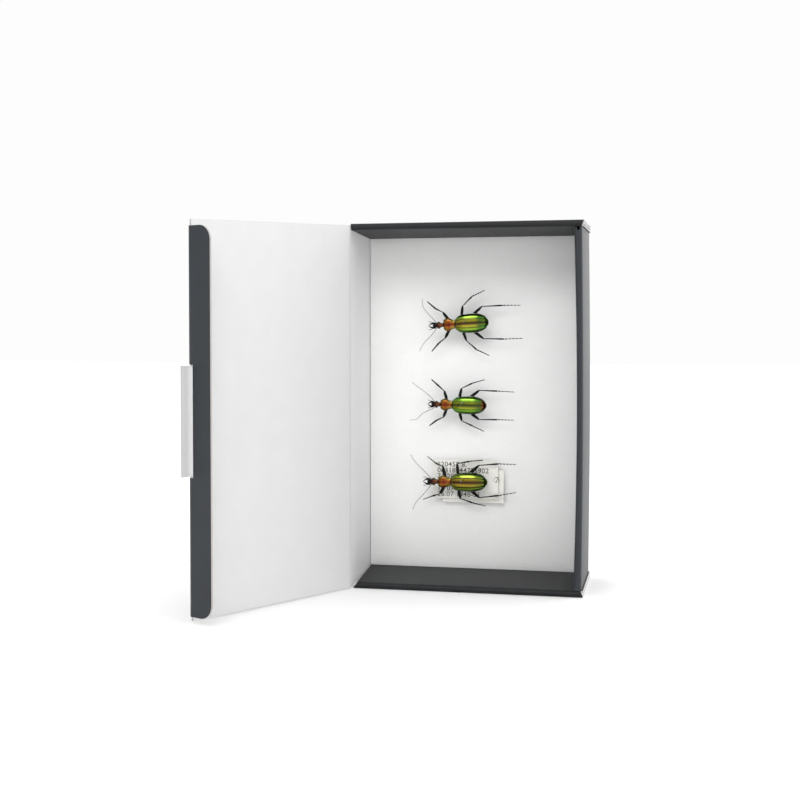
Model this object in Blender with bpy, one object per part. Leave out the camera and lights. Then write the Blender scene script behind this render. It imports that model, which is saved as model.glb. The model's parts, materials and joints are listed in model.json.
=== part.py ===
"""Insect specimen box: a folded board carton standing on its short end, lid open, with a foam
bed, three pinned ground beetles and two data labels.

The row's origin is the centre of the end wall that the carton stands on. +X runs from the
hinge wall to the tuck wall, +Y from the open face to the back panel, +Z up.
"""

import math

import bmesh
import bpy
from mathutils import Matrix, Vector

MM = 0.001

# Carton
BOARD = 0.8 * MM
TRAY_WIDTH = 95 * MM
TRAY_DEPTH = 48 * MM
TRAY_HEIGHT = 150 * MM
END_ROLL = 2.6 * MM  # width of the rolled edge on the top and bottom walls
SIDE_ROLL = 3.2 * MM  # width of the rolled edge on the tuck wall
TOP_LEAN = 1.8 * MM  # how far the top wall's inner layer leans in by the back panel
BOTTOM_LEAN = 1.2 * MM
CORNER_HOLE = 1.3 * MM

# Lid and tuck flap, in their own plane: distance from the crease and height above the base
LID_AXIS_OFFSET = (0.4 * MM, -0.7 * MM)  # from the tray's front corner at the hinge wall
OPEN_ANGLE = 117.0
LID_REACH = 90.0 * MM  # hinge axis to the flap's crease
HINGE_SPAN = (0.5 * MM, 149.3 * MM)
FREE_SPAN = (1.2 * MM, 147.2 * MM)
HINGE_CLEAR = 0.35 * MM
CREASE_CLEAR = 0.8 * MM
TAB_SPAN = (53.9 * MM, 94.1 * MM)
TAB_REACH = 4.1 * MM  # past the flap's crease
FOLD_ANGLE = 90.0
FLAP_DEPTH = 11.1 * MM
FLAP_SPAN = (2.9 * MM, 144.7 * MM)
FLAP_CORNER = 5.5 * MM
SLOT_DEPTH = 1.95 * MM
SLOT_MARGIN = 0.4 * MM

# Foam, labels and pins
GAP = 0.3 * MM
FOAM_FACE = 37 * MM  # from the tray's front edge
PIN_RADIUS = 0.22 * MM
PIN_HOLE = 0.36 * MM
PIN_HEAD = 0.45 * MM
PIN_ABOVE = 3.2 * MM
PIN_IN_FOAM = 7 * MM
LABEL_THICKNESS = 0.25 * MM
# name: left edge, lower edge, width, height, distance of its back from the foam
LABELS = {
    "front_label": (29.6 * MM, 34.1 * MM, 27.7 * MM, 16.3 * MM, 2.9 * MM),
    "back_label": (33.6 * MM, 32.4 * MM, 26.0 * MM, 14.1 * MM, 1.9 * MM),
}

# Beetles. Each is laid out in its own plane: u runs to the tail, v to its right side, w up
# from the margin of its wing cases. They face the hinge wall, so their right side is upward.
MARGIN_HEIGHT = 8 * MM  # wing case margin above the foam
ELYTRA_LENGTH = 14.5 * MM
ELYTRA_WIDTH = 7.6 * MM
ELYTRA_DOME = 2.7 * MM
BODY_DEPTH = 2.0 * MM
BODY_INSET = 0.15 * MM
PRONOTUM = (4.9 * MM, 5.3 * MM, 2.4 * MM)
PRONOTUM_LIFT = 0.2 * MM
HEAD = (3.3 * MM, 3.2 * MM, 2.0 * MM)
SUTURE = 0.1 * MM
PIN_PLACE = (4.9 * MM, 1.0 * MM)
LEG_ROOT_DEPTH = 2.15 * MM
# pair: thigh, shin and foot lengths; root's u and v; how far knee, ankle and claws hang below it
LEGS = {
    "front": {"lengths": (4.4, 3.3, 4.4), "root": (-2.5, 1.5), "drops": (0.4, 1.1, 1.5)},
    "middle": {"lengths": (4.8, 5.1, 5.6), "root": (2.6, 2.2), "drops": (0.5, 1.1, 1.5)},
    "hind": {"lengths": (6.5, 7.7, 7.4), "root": (6.0, 2.2), "drops": (0.4, 1.0, 1.5)},
}
THIGH_RADII = (0.34 * MM, 0.46 * MM)  # at the root and at its thickest
THIGH_BULGE = 0.45  # where along the thigh it is thickest
KNEE_RADIUS = 0.24 * MM
SHIN_RADII = (0.2 * MM, 0.2 * MM)
SHIN_START = 0.12
CLAW_RADIUS = 0.11 * MM
ANTENNA_ROOT = (-7.9 * MM, 1.7 * MM, 0.3 * MM)
ANTENNA_STRETCH = 3.0 * MM
ANTENNA_RADII = (0.14 * MM, 0.09 * MM)
# Directions are degrees from +X towards +Z: thigh, shin and foot of each leg, and four
# equal stretches of each antenna, for the beetle's right (upper) and left (lower) side.
BEETLES = [
    {
        "place": (39.6 * MM, 108.7 * MM), "turn": 3.5, "scale": 0.98, "leg_reach": 1.1,
        "legs": {
            "right": {"front": (130, 154, 140), "middle": (86, 46, 26), "hind": (43, 3, 0)},
            "left": {"front": (-118, -143, -131), "middle": (-70, -42, -25), "hind": (-37, -1, 2)},
        },
        "antennae": {"right": (133, 134, 123, 91), "left": (-126, -137, -129, -117)},
    },
    {
        "place": (38.4 * MM, 74.5 * MM), "turn": -1.0, "scale": 1.0, "leg_reach": 1.0,
        "legs": {
            "right": {"front": (108, 141, 139), "middle": (79, 26, 16), "hind": (38, -2, -3)},
            "left": {"front": (-113, -155, -143), "middle": (-77, -26, -25), "hind": (-38, 0, -1)},
        },
        "antennae": {"right": (136, 140, 146, 141), "left": (-158, -150, -129, -175)},
    },
    {
        "place": (37.8 * MM, 41.7 * MM), "turn": 0.5, "scale": 1.07, "leg_reach": 1.0,
        "legs": {
            "right": {"front": (105, 157, 143), "middle": (96, 11, 6), "hind": (41, 5, -1)},
            "left": {"front": (-123, -161, -158), "middle": (-81, -19, -13), "hind": (-40, 7, 11)},
        },
        "antennae": {"right": (134, 137, 135, 119), "left": (-127, -133, -133, -114)},
    },
]

ORIGIN = Vector((TRAY_WIDTH / 2, TRAY_DEPTH / 2, 0))


def clear_scene():
    for obj in list(bpy.data.objects):
        bpy.data.objects.remove(obj, do_unlink=True)


def new_collection(name):
    collection = bpy.data.collections.new(name)
    bpy.context.scene.collection.children.link(collection)
    return collection


clear_scene()
PARTS = new_collection("insect_specimen_box")
CUTTERS = new_collection("cutters")


def material(name, color, roughness, metallic=0.0):
    mat = bpy.data.materials.new(name)
    mat.use_nodes = True
    shader = mat.node_tree.nodes["Principled BSDF"]
    shader.inputs["Base Color"].default_value = (*color, 1)
    shader.inputs["Roughness"].default_value = roughness
    shader.inputs["Metallic"].default_value = metallic
    mat.diffuse_color = (*color, 1)
    return mat


def add_object(name, data, collection=PARTS):
    obj = bpy.data.objects.new(name, data)
    collection.objects.link(obj)
    if collection == CUTTERS:
        obj.hide_render = True
        obj.display_type = "WIRE"
    return obj


def mesh_object(name, bm, collection=PARTS):
    bmesh.ops.recalc_face_normals(bm, faces=bm.faces)
    mesh = bpy.data.meshes.new(name)
    bm.to_mesh(mesh)
    bm.free()
    return add_object(name, mesh, collection)


def box(name, low, high, collection=PARTS, back_shrink=(0, 0)):
    """A box between two corners; back_shrink raises its far bottom and lowers its far top."""
    low, high = Vector(low), Vector(high)
    bm = bmesh.new()
    bmesh.ops.create_cube(bm, size=1)
    size, middle = high - low, (low + high) / 2
    for vert in bm.verts:
        is_back, is_top = vert.co.y > 0, vert.co.z > 0
        vert.co = middle + Vector(a * b for a, b in zip(vert.co, size)) - ORIGIN
        if is_back:
            vert.co.z += -back_shrink[1] if is_top else back_shrink[0]
    return mesh_object(name, bm, collection)


def cylinder(name, radius, start, end, collection=CUTTERS, sides=8):
    start, end = Vector(start), Vector(end)
    along = end - start
    bm = bmesh.new()
    bmesh.ops.create_cone(
        bm, cap_ends=True, segments=sides, radius1=radius, radius2=radius, depth=along.length
    )
    turn = along.to_track_quat("Z", "Y").to_matrix().to_4x4()
    bmesh.ops.transform(bm, matrix=Matrix.Translation((start + end) / 2) @ turn, verts=bm.verts)
    return mesh_object(name, bm, collection)


def cut(obj, *cutters):
    for cutter in cutters:
        mod = obj.modifiers.new("cut " + cutter.name, "BOOLEAN")
        mod.object = cutter
        mod.solver = "EXACT"


def outline(name, points, thickness):
    """A flat 2D curve through a ring of points, filled and given a thickness."""
    curve = bpy.data.curves.new(name, "CURVE")
    curve.dimensions = "2D"
    curve.fill_mode = "BOTH"
    curve.extrude = thickness / 2
    spline = curve.splines.new("POLY")
    spline.points.add(len(points) - 1)
    for slot, (x, y) in zip(spline.points, points):
        slot.co = (x, y, 0, 1)
    spline.use_cyclic_u = True
    return add_object(name, curve)


def tube(name, points, radii):
    curve = bpy.data.curves.new(name, "CURVE")
    curve.dimensions = "3D"
    curve.bevel_depth = MM
    curve.bevel_resolution = 1
    curve.use_fill_caps = True
    spline = curve.splines.new("POLY")
    spline.points.add(len(points) - 1)
    for slot, point, radius in zip(spline.points, points, radii):
        slot.co = (*point, 1)
        slot.radius = radius / MM
    return add_object(name, curve)


BOARD_DARK = material("dark grey lined board", (0.075, 0.08, 0.088), 0.6)
BOARD_WHITE = material("white lined board", (0.8, 0.8, 0.79), 0.7)
CUTICLE_GREEN = material("metallic green cuticle", (0.06, 0.30, 0.04), 0.25, 0.8)
CUTICLE_COPPER = material("coppery red cuticle", (0.35, 0.10, 0.02), 0.3, 0.8)
CUTICLE_BLACK = material("black cuticle", (0.01, 0.01, 0.01), 0.35)
STEEL = material("pin steel", (0.55, 0.55, 0.56), 0.3, 1.0)
FOAM = material("white foam", (0.9, 0.9, 0.9), 0.9)
PAPER = material("label paper", (0.8, 0.8, 0.76), 0.8)


# The folded board carton


def arc(centre, radius, start, end, steps=5):
    angles = [math.radians(start + (end - start) * k / steps) for k in range(steps + 1)]
    return [(centre[0] + radius * math.cos(a), centre[1] + radius * math.sin(a)) for a in angles]


def make_tray():
    """A box less its hollow and the space inside each double wall, open at the free ends."""
    w, d, h, t = TRAY_WIDTH, TRAY_DEPTH, TRAY_HEIGHT, BOARD
    past = 2 * MM
    tray = box("tray", (0, 0, 0), (w, d, h))
    hollow = box(
        "tray hollow",
        (t, -past, END_ROLL), (w - SIDE_ROLL, d - t, h - END_ROLL),
        CUTTERS, (BOTTOM_LEAN, TOP_LEAN),
    )
    top_space = box("top wall space", (t, t, h - END_ROLL + t), (w + past, d - t, h - t), CUTTERS)
    bottom_space = box("bottom wall space", (t, t, t), (w + past, d - t, END_ROLL - t), CUTTERS)
    side_low, side_high = END_ROLL + 2 * t, h - END_ROLL - 2 * t
    side_space = box(
        "tuck wall space", (w - SIDE_ROLL + t, t, side_low), (w - t, d - t, side_high), CUTTERS
    )
    hole = Vector((w - SIDE_ROLL / 2, 0, side_high - CORNER_HOLE / 2)) - ORIGIN
    corner_hole = cylinder(
        "corner hole", CORNER_HOLE,
        hole + Vector((0, -past, 0)), hole + Vector((0, 2 * t, 0)), sides=12,
    )
    crease_end = box(
        "hinge crease end", (-past, -past, HINGE_SPAN[1]), (t * 1.5, t, h + past), CUTTERS
    )
    cut(tray, hollow, top_space, bottom_space, side_space, corner_hole, crease_end)
    tray.data.materials.append(BOARD_DARK)
    return tray


def joint_empty(name, location, turn, parent=None):
    empty = bpy.data.objects.new(name, None)
    empty.empty_display_size = 5 * MM
    PARTS.objects.link(empty)
    empty.parent = parent
    empty.location = location
    empty.rotation_euler = (0, 0, math.radians(turn))
    return empty


def stand_up(obj, parent):
    """Turns a flat outline upright, so that its own Y is the part's +Z."""
    obj.parent = parent
    obj.rotation_euler = (math.radians(90), 0, 0)


def make_lid(hinge):
    end = LID_REACH - CREASE_CLEAR
    points = [
        (HINGE_CLEAR, HINGE_SPAN[0]), (end, FREE_SPAN[0]),
        (end, TAB_SPAN[0]), (LID_REACH + TAB_REACH, TAB_SPAN[0]),
        (LID_REACH + TAB_REACH, TAB_SPAN[1]), (end, TAB_SPAN[1]),
        (end, FREE_SPAN[1]), (HINGE_CLEAR, HINGE_SPAN[1]),
    ]
    lid = outline("lid", points, BOARD)
    lid.data.materials.append(BOARD_WHITE)
    stand_up(lid, hinge)
    return lid


def make_flap(crease):
    low, high = FLAP_SPAN
    slot_low, slot_high = TAB_SPAN[0] - SLOT_MARGIN, TAB_SPAN[1] + SLOT_MARGIN
    inner = FLAP_DEPTH - FLAP_CORNER
    points = [
        (CREASE_CLEAR, low),
        *arc((inner, low + FLAP_CORNER), FLAP_CORNER, -90, 0),
        *arc((inner, high - FLAP_CORNER), FLAP_CORNER, 0, 90),
        (CREASE_CLEAR, high), (CREASE_CLEAR, slot_high),
        (SLOT_DEPTH, slot_high), (SLOT_DEPTH, slot_low), (CREASE_CLEAR, slot_low),
    ]
    flap = outline("tuck_flap", points, BOARD)
    flap.data.materials.append(BOARD_DARK)
    stand_up(flap, crease)
    return flap


# Beetle layout


class Layout:
    """Places points of one beetle: u to the tail, v to its right, w up off its margin plane."""

    def __init__(self, beetle):
        self.scale = beetle["scale"]
        self.turn = math.radians(beetle["turn"])
        x, z = beetle["place"]
        self.base = Vector((x, FOAM_FACE - MARGIN_HEIGHT, z)) - ORIGIN

    def matrix(self):
        c, s = math.cos(self.turn), math.sin(self.turn)
        axes = Matrix(((c, -s, 0, 0), (0, 0, -1, 0), (s, c, 0, 0), (0, 0, 0, 1)))
        return Matrix.Translation(self.base) @ axes @ Matrix.Scale(self.scale, 4)

    def point(self, u, v, w):
        return self.matrix() @ Vector((u, v, w))


def ellipsoid(size, centre, segments=16, rings=10):
    """A closed ellipsoid with its poles along u."""
    bm = bmesh.new()
    bmesh.ops.create_uvsphere(bm, u_segments=segments, v_segments=rings, radius=0.5)
    bmesh.ops.rotate(bm, matrix=Matrix.Rotation(math.radians(90), 3, "Y"), verts=bm.verts)
    bmesh.ops.scale(bm, vec=size, verts=bm.verts)
    bmesh.ops.translate(bm, vec=centre, verts=bm.verts)
    return bm


def keep_side(bm, point, normal):
    """Cuts a closed shape by a plane, keeps the side the normal points to, and closes it."""
    geometry = bm.verts[:] + bm.edges[:] + bm.faces[:]
    bmesh.ops.bisect_plane(bm, geom=geometry, plane_co=point, plane_no=normal, clear_inner=True)
    bmesh.ops.holes_fill(bm, edges=[edge for edge in bm.edges if edge.is_boundary])
    bmesh.ops.dissolve_degenerate(bm, dist=0.002 * MM, edges=bm.edges)


def place_shape(name, bm, layout, mat):
    bmesh.ops.transform(bm, matrix=layout.matrix(), verts=bm.verts)
    obj = mesh_object(name, bm)
    obj.data.shade_smooth()
    obj.data.materials.append(mat)
    return obj


def make_elytron(name, side, layout):
    size = (ELYTRA_LENGTH, ELYTRA_WIDTH, 2 * ELYTRA_DOME)
    bm = ellipsoid(size, (ELYTRA_LENGTH / 2 + SUTURE, 0, 0))
    keep_side(bm, (0, 0, SUTURE), (0, 0, 1))
    keep_side(bm, (0, side * SUTURE / 2, 0), (0, side, 0))
    return place_shape(name, bm, layout, CUTICLE_GREEN)


def make_body(name, layout):
    """The underside: hind chest and belly, below the wing cases."""
    size = (ELYTRA_LENGTH - BODY_INSET, ELYTRA_WIDTH - BODY_INSET, 2 * BODY_DEPTH)
    bm = ellipsoid(size, (ELYTRA_LENGTH / 2 + SUTURE, 0, 0))
    keep_side(bm, (0, 0, 0), (0, 0, -1))
    return place_shape(name, bm, layout, CUTICLE_BLACK)


def make_pronotum(name, layout):
    bm = ellipsoid(PRONOTUM, (-PRONOTUM[0] / 2 - SUTURE, 0, PRONOTUM_LIFT), 16, 8)
    return place_shape(name, bm, layout, CUTICLE_COPPER)


def make_head(name, layout):
    middle = -PRONOTUM[0] - HEAD[0] / 2 - 3 * SUTURE
    bm = ellipsoid(HEAD, (middle, 0, 0), 14, 8)
    return place_shape(name, bm, layout, CUTICLE_COPPER)


def heading(degrees):
    angle = math.radians(degrees)
    return Vector((math.cos(angle), 0, math.sin(angle)))


def make_leg(name, pair, side, directions, beetle, layout):
    """Thigh, shin and foot in one tube that thins towards the claws and sinks to the foam."""
    plan = LEGS[pair]
    root_u, root_v = plan["root"]
    root = layout.point(root_u * MM, side * root_v * MM, -LEG_ROOT_DEPTH)
    joints = [root]
    for length, direction, drop in zip(plan["lengths"], directions, plan["drops"]):
        flat = length * MM * layout.scale * beetle["leg_reach"]
        joint = joints[-1] + heading(direction) * flat
        joint.y = root.y + drop * MM * layout.scale
        joints.append(joint)
    hip, knee, ankle, claw = joints
    points = [hip, hip.lerp(knee, THIGH_BULGE), knee, knee.lerp(ankle, SHIN_START), ankle, claw]
    radii = [*THIGH_RADII, KNEE_RADIUS, *SHIN_RADII, CLAW_RADIUS]
    leg = tube(name, points, [radius * layout.scale for radius in radii])
    leg.data.materials.append(CUTICLE_BLACK)
    return leg


def make_antenna(name, side, directions, layout):
    u, v, w = ANTENNA_ROOT
    points = [layout.point(u, side * v, w)]
    for direction in directions:
        points.append(points[-1] + heading(direction) * ANTENNA_STRETCH * layout.scale)
    thick, thin = ANTENNA_RADII
    last = len(points) - 1
    radii = [thick + (thin - thick) * k / last for k in range(len(points))]
    antenna = tube(name, points, radii)
    antenna.data.materials.append(CUTICLE_BLACK)
    return antenna


def pin_line(layout):
    """Where the pin's axis crosses the plane of the wing cases' margin."""
    return layout.point(*PIN_PLACE, 0)


def make_pin(name, layout):
    """A head, a shaft and a point, along +Y into the foam."""
    middle = pin_line(layout)
    head_base = -(ELYTRA_DOME * layout.scale + PIN_ABOVE)
    tip = MARGIN_HEIGHT + PIN_IN_FOAM
    stops = [
        (head_base - PIN_HEAD * 1.1, PIN_HEAD * 0.5), (head_base - PIN_HEAD, PIN_HEAD),
        (head_base, PIN_HEAD), (head_base + SUTURE, PIN_RADIUS),
        (tip - MM, PIN_RADIUS), (tip, PIN_RADIUS * 0.3),
    ]
    pin = tube(name, [middle + Vector((0, y, 0)) for y, _ in stops], [r for _, r in stops])
    pin.data.materials.append(STEEL)
    return pin


def make_beetle(number, beetle):
    """One beetle and its pin; returns the cutter that clears the pin's way."""
    layout = Layout(beetle)
    prefix = f"beetle_{number}_"
    middle = pin_line(layout)
    above = Vector((0, -2 * ELYTRA_DOME, 0))
    below = Vector((0, MARGIN_HEIGHT + TRAY_DEPTH - FOAM_FACE, 0))
    hole = cylinder(f"pin {number} way", PIN_HOLE, middle + above, middle + below)
    right = make_elytron(prefix + "right_elytron", 1, layout)
    make_elytron(prefix + "left_elytron", -1, layout)
    body = make_body(prefix + "body", layout)
    cut(right, hole)
    cut(body, hole)
    make_pronotum(prefix + "pronotum", layout)
    make_head(prefix + "head", layout)
    for side_name, side in (("right", 1), ("left", -1)):
        for pair, directions in beetle["legs"][side_name].items():
            name = f"{prefix}{side_name}_{pair}_leg"
            make_leg(name, pair, side, directions, beetle, layout)
        antenna = beetle["antennae"][side_name]
        make_antenna(f"{prefix}{side_name}_antenna", side, antenna, layout)
    make_pin(f"pin_{number}", layout)
    return hole


def make_foam(holes):
    low = (BOARD + GAP, FOAM_FACE, END_ROLL + BOTTOM_LEAN + GAP)
    high = (
        TRAY_WIDTH - SIDE_ROLL - GAP, TRAY_DEPTH - BOARD - GAP,
        TRAY_HEIGHT - END_ROLL - TOP_LEAN - GAP,
    )
    foam = box("foam_sheet", low, high)
    cut(foam, *holes)
    foam.data.materials.append(FOAM)
    return foam


def make_label(name, hole):
    left, low, width, height, above = LABELS[name]
    back = FOAM_FACE - above
    label = box(name, (left, back - LABEL_THICKNESS, low), (left + width, back, low + height))
    cut(label, hole)
    label.data.materials.append(PAPER)
    return label


def main():
    make_tray()
    axis = Vector((*LID_AXIS_OFFSET, 0)) - ORIGIN
    hinge = joint_empty("lid hinge axis", axis, -OPEN_ANGLE)
    make_lid(hinge)
    crease = joint_empty("flap crease axis", (LID_REACH, 0, 0), FOLD_ANGLE, hinge)
    make_flap(crease)
    holes = [make_beetle(k + 1, beetle) for k, beetle in enumerate(BEETLES)]
    make_foam(holes)
    for name in LABELS:
        make_label(name, holes[-1])
    bpy.context.view_layer.update()
    for name, empty in (("lid hinge", hinge), ("flap crease", crease)):
        print(name, "axis at", [round(v, 6) for v in empty.matrix_world.translation])


main()
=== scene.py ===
# %% [markdown]
# # Insect specimen box
#
# A folded board carton stands on its short end with its lid open. Inside it, three metallic
# ground beetles are pinned on a bed of white foam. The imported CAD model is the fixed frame:
# it says where every part is, and this script gives each part its true surface. Pieces are
# built around the frame and ride on its bodies, so the lid and its tuck flap still open.

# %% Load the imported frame
import json
import math

import bmesh
import bpy
from mathutils import Matrix, Vector


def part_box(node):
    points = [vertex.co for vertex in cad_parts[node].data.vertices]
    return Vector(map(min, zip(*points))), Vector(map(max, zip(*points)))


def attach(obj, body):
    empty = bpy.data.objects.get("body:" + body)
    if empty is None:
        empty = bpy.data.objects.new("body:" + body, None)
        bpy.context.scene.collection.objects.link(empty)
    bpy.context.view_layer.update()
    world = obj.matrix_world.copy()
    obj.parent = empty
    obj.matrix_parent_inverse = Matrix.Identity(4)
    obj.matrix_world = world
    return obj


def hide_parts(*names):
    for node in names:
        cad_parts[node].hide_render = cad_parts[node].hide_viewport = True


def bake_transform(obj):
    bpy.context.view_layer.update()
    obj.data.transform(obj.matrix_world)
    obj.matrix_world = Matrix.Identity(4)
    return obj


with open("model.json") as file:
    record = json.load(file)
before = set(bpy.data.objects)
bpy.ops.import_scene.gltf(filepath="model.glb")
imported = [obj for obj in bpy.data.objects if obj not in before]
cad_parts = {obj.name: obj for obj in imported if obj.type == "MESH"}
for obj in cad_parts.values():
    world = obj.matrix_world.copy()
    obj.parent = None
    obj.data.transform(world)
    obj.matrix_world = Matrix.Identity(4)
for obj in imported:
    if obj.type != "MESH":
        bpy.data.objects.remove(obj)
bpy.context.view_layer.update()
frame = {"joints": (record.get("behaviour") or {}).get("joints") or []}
MM = 0.001

# %% [markdown]
# ## Helpers for colours and nodes
#
# Colours are easiest to choose as sRGB hex values, but shader sockets want linear light, so
# one function converts them. A second function adds a node, sets its properties and fills
# its inputs, where an input is either a plain value or the output socket of another node.

# %% Colour and node helpers


def linear(colour):
    """An sRGB hex colour as the linear RGBA that a socket takes."""
    channels = [int(colour[k:k + 2], 16) / 255 for k in (1, 3, 5)]
    return (*(c / 12.92 if c <= 0.04045 else ((c + 0.055) / 1.055) ** 2.4 for c in channels), 1)


def add_node(tree, kind, inputs=(), stops=(), **settings):
    """Adds a node. inputs maps sockets to values or output sockets; stops fill a colour ramp."""
    node = tree.nodes.new(kind)
    for name, value in settings.items():
        setattr(node, name, value)
    for key, value in dict(inputs).items():
        if isinstance(value, bpy.types.NodeSocket):
            tree.links.new(value, node.inputs[key])
        else:
            node.inputs[key].default_value = value
    for k, (position, colour) in enumerate(stops):
        elements = node.color_ramp.elements
        element = elements[k] if k < len(elements) else elements.new(position)
        element.position = position
        element.color = linear(colour)
    return node


print("mid grey as linear light:", [round(c, 3) for c in linear("#808080")])

# %% [markdown]
# ## Camera
#
# The box is looked at from far off with a short telephoto lens, a little above the beetles
# and from the tuck side, so the lid stays nearly parallel in perspective. Its turn is set by
# three angles, from which the camera's own axes are worked out.

# %% Camera
CAMERA_PLACE = Vector((82.51, -588.15, 110.04)) * MM
YAW, PITCH, ROLL = (math.radians(angle) for angle in (13.474, 1.579, -0.126))

camera = bpy.data.objects.new("camera", bpy.data.cameras.new("camera"))
camera.data.lens = 63.465
camera.data.shift_x, camera.data.shift_y = 0.0793, -0.0498
camera.data.sensor_width = 36
camera.data.clip_end = 30
bpy.context.scene.collection.objects.link(camera)
bpy.context.scene.camera = camera

forward = Vector((
    -math.sin(YAW) * math.cos(PITCH), math.cos(YAW) * math.cos(PITCH), -math.sin(PITCH)
))
level_right = Vector((math.cos(YAW), math.sin(YAW), 0))
level_up = level_right.cross(forward)
right_axis = level_right * math.cos(ROLL) + level_up * math.sin(ROLL)
up_axis = level_up * math.cos(ROLL) - level_right * math.sin(ROLL)
turn = Matrix((right_axis, up_axis, -forward)).transposed().to_4x4()
camera.matrix_world = Matrix.Translation(CAMERA_PLACE) @ turn
print("camera", round(CAMERA_PLACE.length, 3), "m from the base, looking along", forward)

# %% [markdown]
# ## Studio light
#
# The box stands in a white sweep, lit by one softbox high in front, a little to the left, and
# by the white room all round it. The room could be built from planes, but a world shader is
# simpler: it is brighter behind the box, overhead and at the tuck side, and dimmer in front,
# so that the beetles' polished wing cases have dark flanks beside their highlights; painted
# shade in the wing cases' colour darkens those flanks further. The camera itself sees an
# even near-white.

# %% World
BACKGROUND = "#FDFDFD"
ROOM_FRONT = 0.95  # strength of the dimmer front of the room
ROOM_BACK = 1.6
CEILING_GAIN = 1.25  # how much brighter the room is overhead
SIDE_GAIN = (0.9, 1.4)  # at the hinge side and, brighter, at the tuck side
# the parts of a unit direction's y, z and x over which each of these fades in
DEPTH_RANGE, HEIGHT_RANGE, SIDE_RANGE = (-0.3, 1.0), (0.2, 0.9), (-0.8, 0.8)

world = bpy.data.worlds.new("white room")
world.use_nodes = True
bpy.context.scene.world = world
room = world.node_tree
room.nodes.clear()
direction = add_node(room, "ShaderNodeTexCoord").outputs["Generated"]
towards = add_node(room, "ShaderNodeSeparateXYZ", {0: direction}).outputs
level = add_node(
    room, "ShaderNodeMapRange",
    {"Value": towards["Y"], "From Min": DEPTH_RANGE[0], "From Max": DEPTH_RANGE[1],
     "To Min": ROOM_FRONT, "To Max": ROOM_BACK},
)
overhead = add_node(
    room, "ShaderNodeMapRange",
    {"Value": towards["Z"], "From Min": HEIGHT_RANGE[0], "From Max": HEIGHT_RANGE[1],
     "To Min": 1.0, "To Max": CEILING_GAIN},
    interpolation_type="SMOOTHSTEP",
)
sideways_gain = add_node(
    room, "ShaderNodeMapRange",
    {"Value": towards["X"], "From Min": SIDE_RANGE[0], "From Max": SIDE_RANGE[1],
     "To Min": SIDE_GAIN[0], "To Max": SIDE_GAIN[1]},
)
above = add_node(
    room, "ShaderNodeMath", {0: level.outputs[0], 1: overhead.outputs[0]}, operation="MULTIPLY"
)
strength = add_node(
    room, "ShaderNodeMath", {0: above.outputs[0], 1: sideways_gain.outputs[0]}, operation="MULTIPLY"
)
lit = add_node(room, "ShaderNodeBackground", {"Strength": strength.outputs[0]})
seen = add_node(room, "ShaderNodeBackground", {"Color": linear(BACKGROUND), "Strength": 1.0})
is_camera = add_node(room, "ShaderNodeLightPath").outputs["Is Camera Ray"]
both = add_node(room, "ShaderNodeMixShader", {0: is_camera, 1: lit.outputs[0], 2: seen.outputs[0]})
add_node(room, "ShaderNodeOutputWorld", {"Surface": both.outputs[0]})
bpy.context.scene.view_settings.view_transform = "Standard"
print("room strength:", ROOM_FRONT, "in front to", ROOM_BACK, "behind, times", SIDE_GAIN)

# %% Softbox
KEY_DISTANCE = 0.95  # metres from the middle of the foam
KEY_SIDE = math.radians(8)  # to the left of straight in front
KEY_HEIGHT = math.radians(36)
KEY_SIZE = (0.50, 0.30)  # metres
KEY_POWER = 2.3  # watts

foam_low, foam_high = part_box("foam_sheet")
aim = Vector(((foam_low.x + foam_high.x) / 2, foam_low.y, (foam_low.z + foam_high.z) / 2))
towards_key = Vector((
    -math.sin(KEY_SIDE) * math.cos(KEY_HEIGHT),
    -math.cos(KEY_SIDE) * math.cos(KEY_HEIGHT),
    math.sin(KEY_HEIGHT),
))
light = bpy.data.objects.new("softbox", bpy.data.lights.new("softbox", "AREA"))
light.data.shape = "RECTANGLE"
light.data.size, light.data.size_y = KEY_SIZE
light.data.energy = KEY_POWER
light.location = aim + towards_key * KEY_DISTANCE
light.rotation_euler = towards_key.to_track_quat("Z", "Y").to_euler()
bpy.context.scene.collection.objects.link(light)
print("softbox at", [round(v, 3) for v in light.location])

# %% [markdown]
# ## Floor
#
# The sweep's floor is matt white paper. A plane would do, but paper has a faint tooth, so a
# very fine noise roughens it. It is only a stage and not part of the object.

# %% Floor
FLOOR_REACH = 3.0  # metres each way
PAPER_TOOTH = 900.0  # noise scale on metres, so bumps of about a millimetre


def sweep_paper():
    """Matt white background paper: no gloss, with a faint tooth."""
    material = bpy.data.materials.new("sweep_paper")
    material.use_nodes = True
    tree = material.node_tree
    shader = tree.nodes["Principled BSDF"]
    place = add_node(tree, "ShaderNodeTexCoord").outputs["Object"]
    tooth = add_node(tree, "ShaderNodeTexNoise", {"Vector": place, "Scale": PAPER_TOOTH})
    white = add_node(
        tree, "ShaderNodeValToRGB", {0: tooth.outputs[0]}, stops=((0.3, "#F7F7F7"), (0.7, "#FAFAFA"))
    )
    tree.links.new(white.outputs[0], shader.inputs["Base Color"])
    shader.inputs["Roughness"].default_value = 0.9
    shader.inputs["Specular IOR Level"].default_value = 0.1
    return material


floor_mesh = bpy.data.meshes.new("floor")
floor_mesh.from_pydata(
    [(x * FLOOR_REACH, y * FLOOR_REACH, 0) for x, y in ((-1, -1), (1, -1), (1, 1), (-1, 1))],
    [], [(0, 1, 2, 3)],
)
floor = bpy.data.objects.new("floor", floor_mesh)
floor_mesh.materials.append(sweep_paper())
bpy.context.scene.collection.objects.link(floor)
print("floor", 2 * FLOOR_REACH, "m square")
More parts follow.
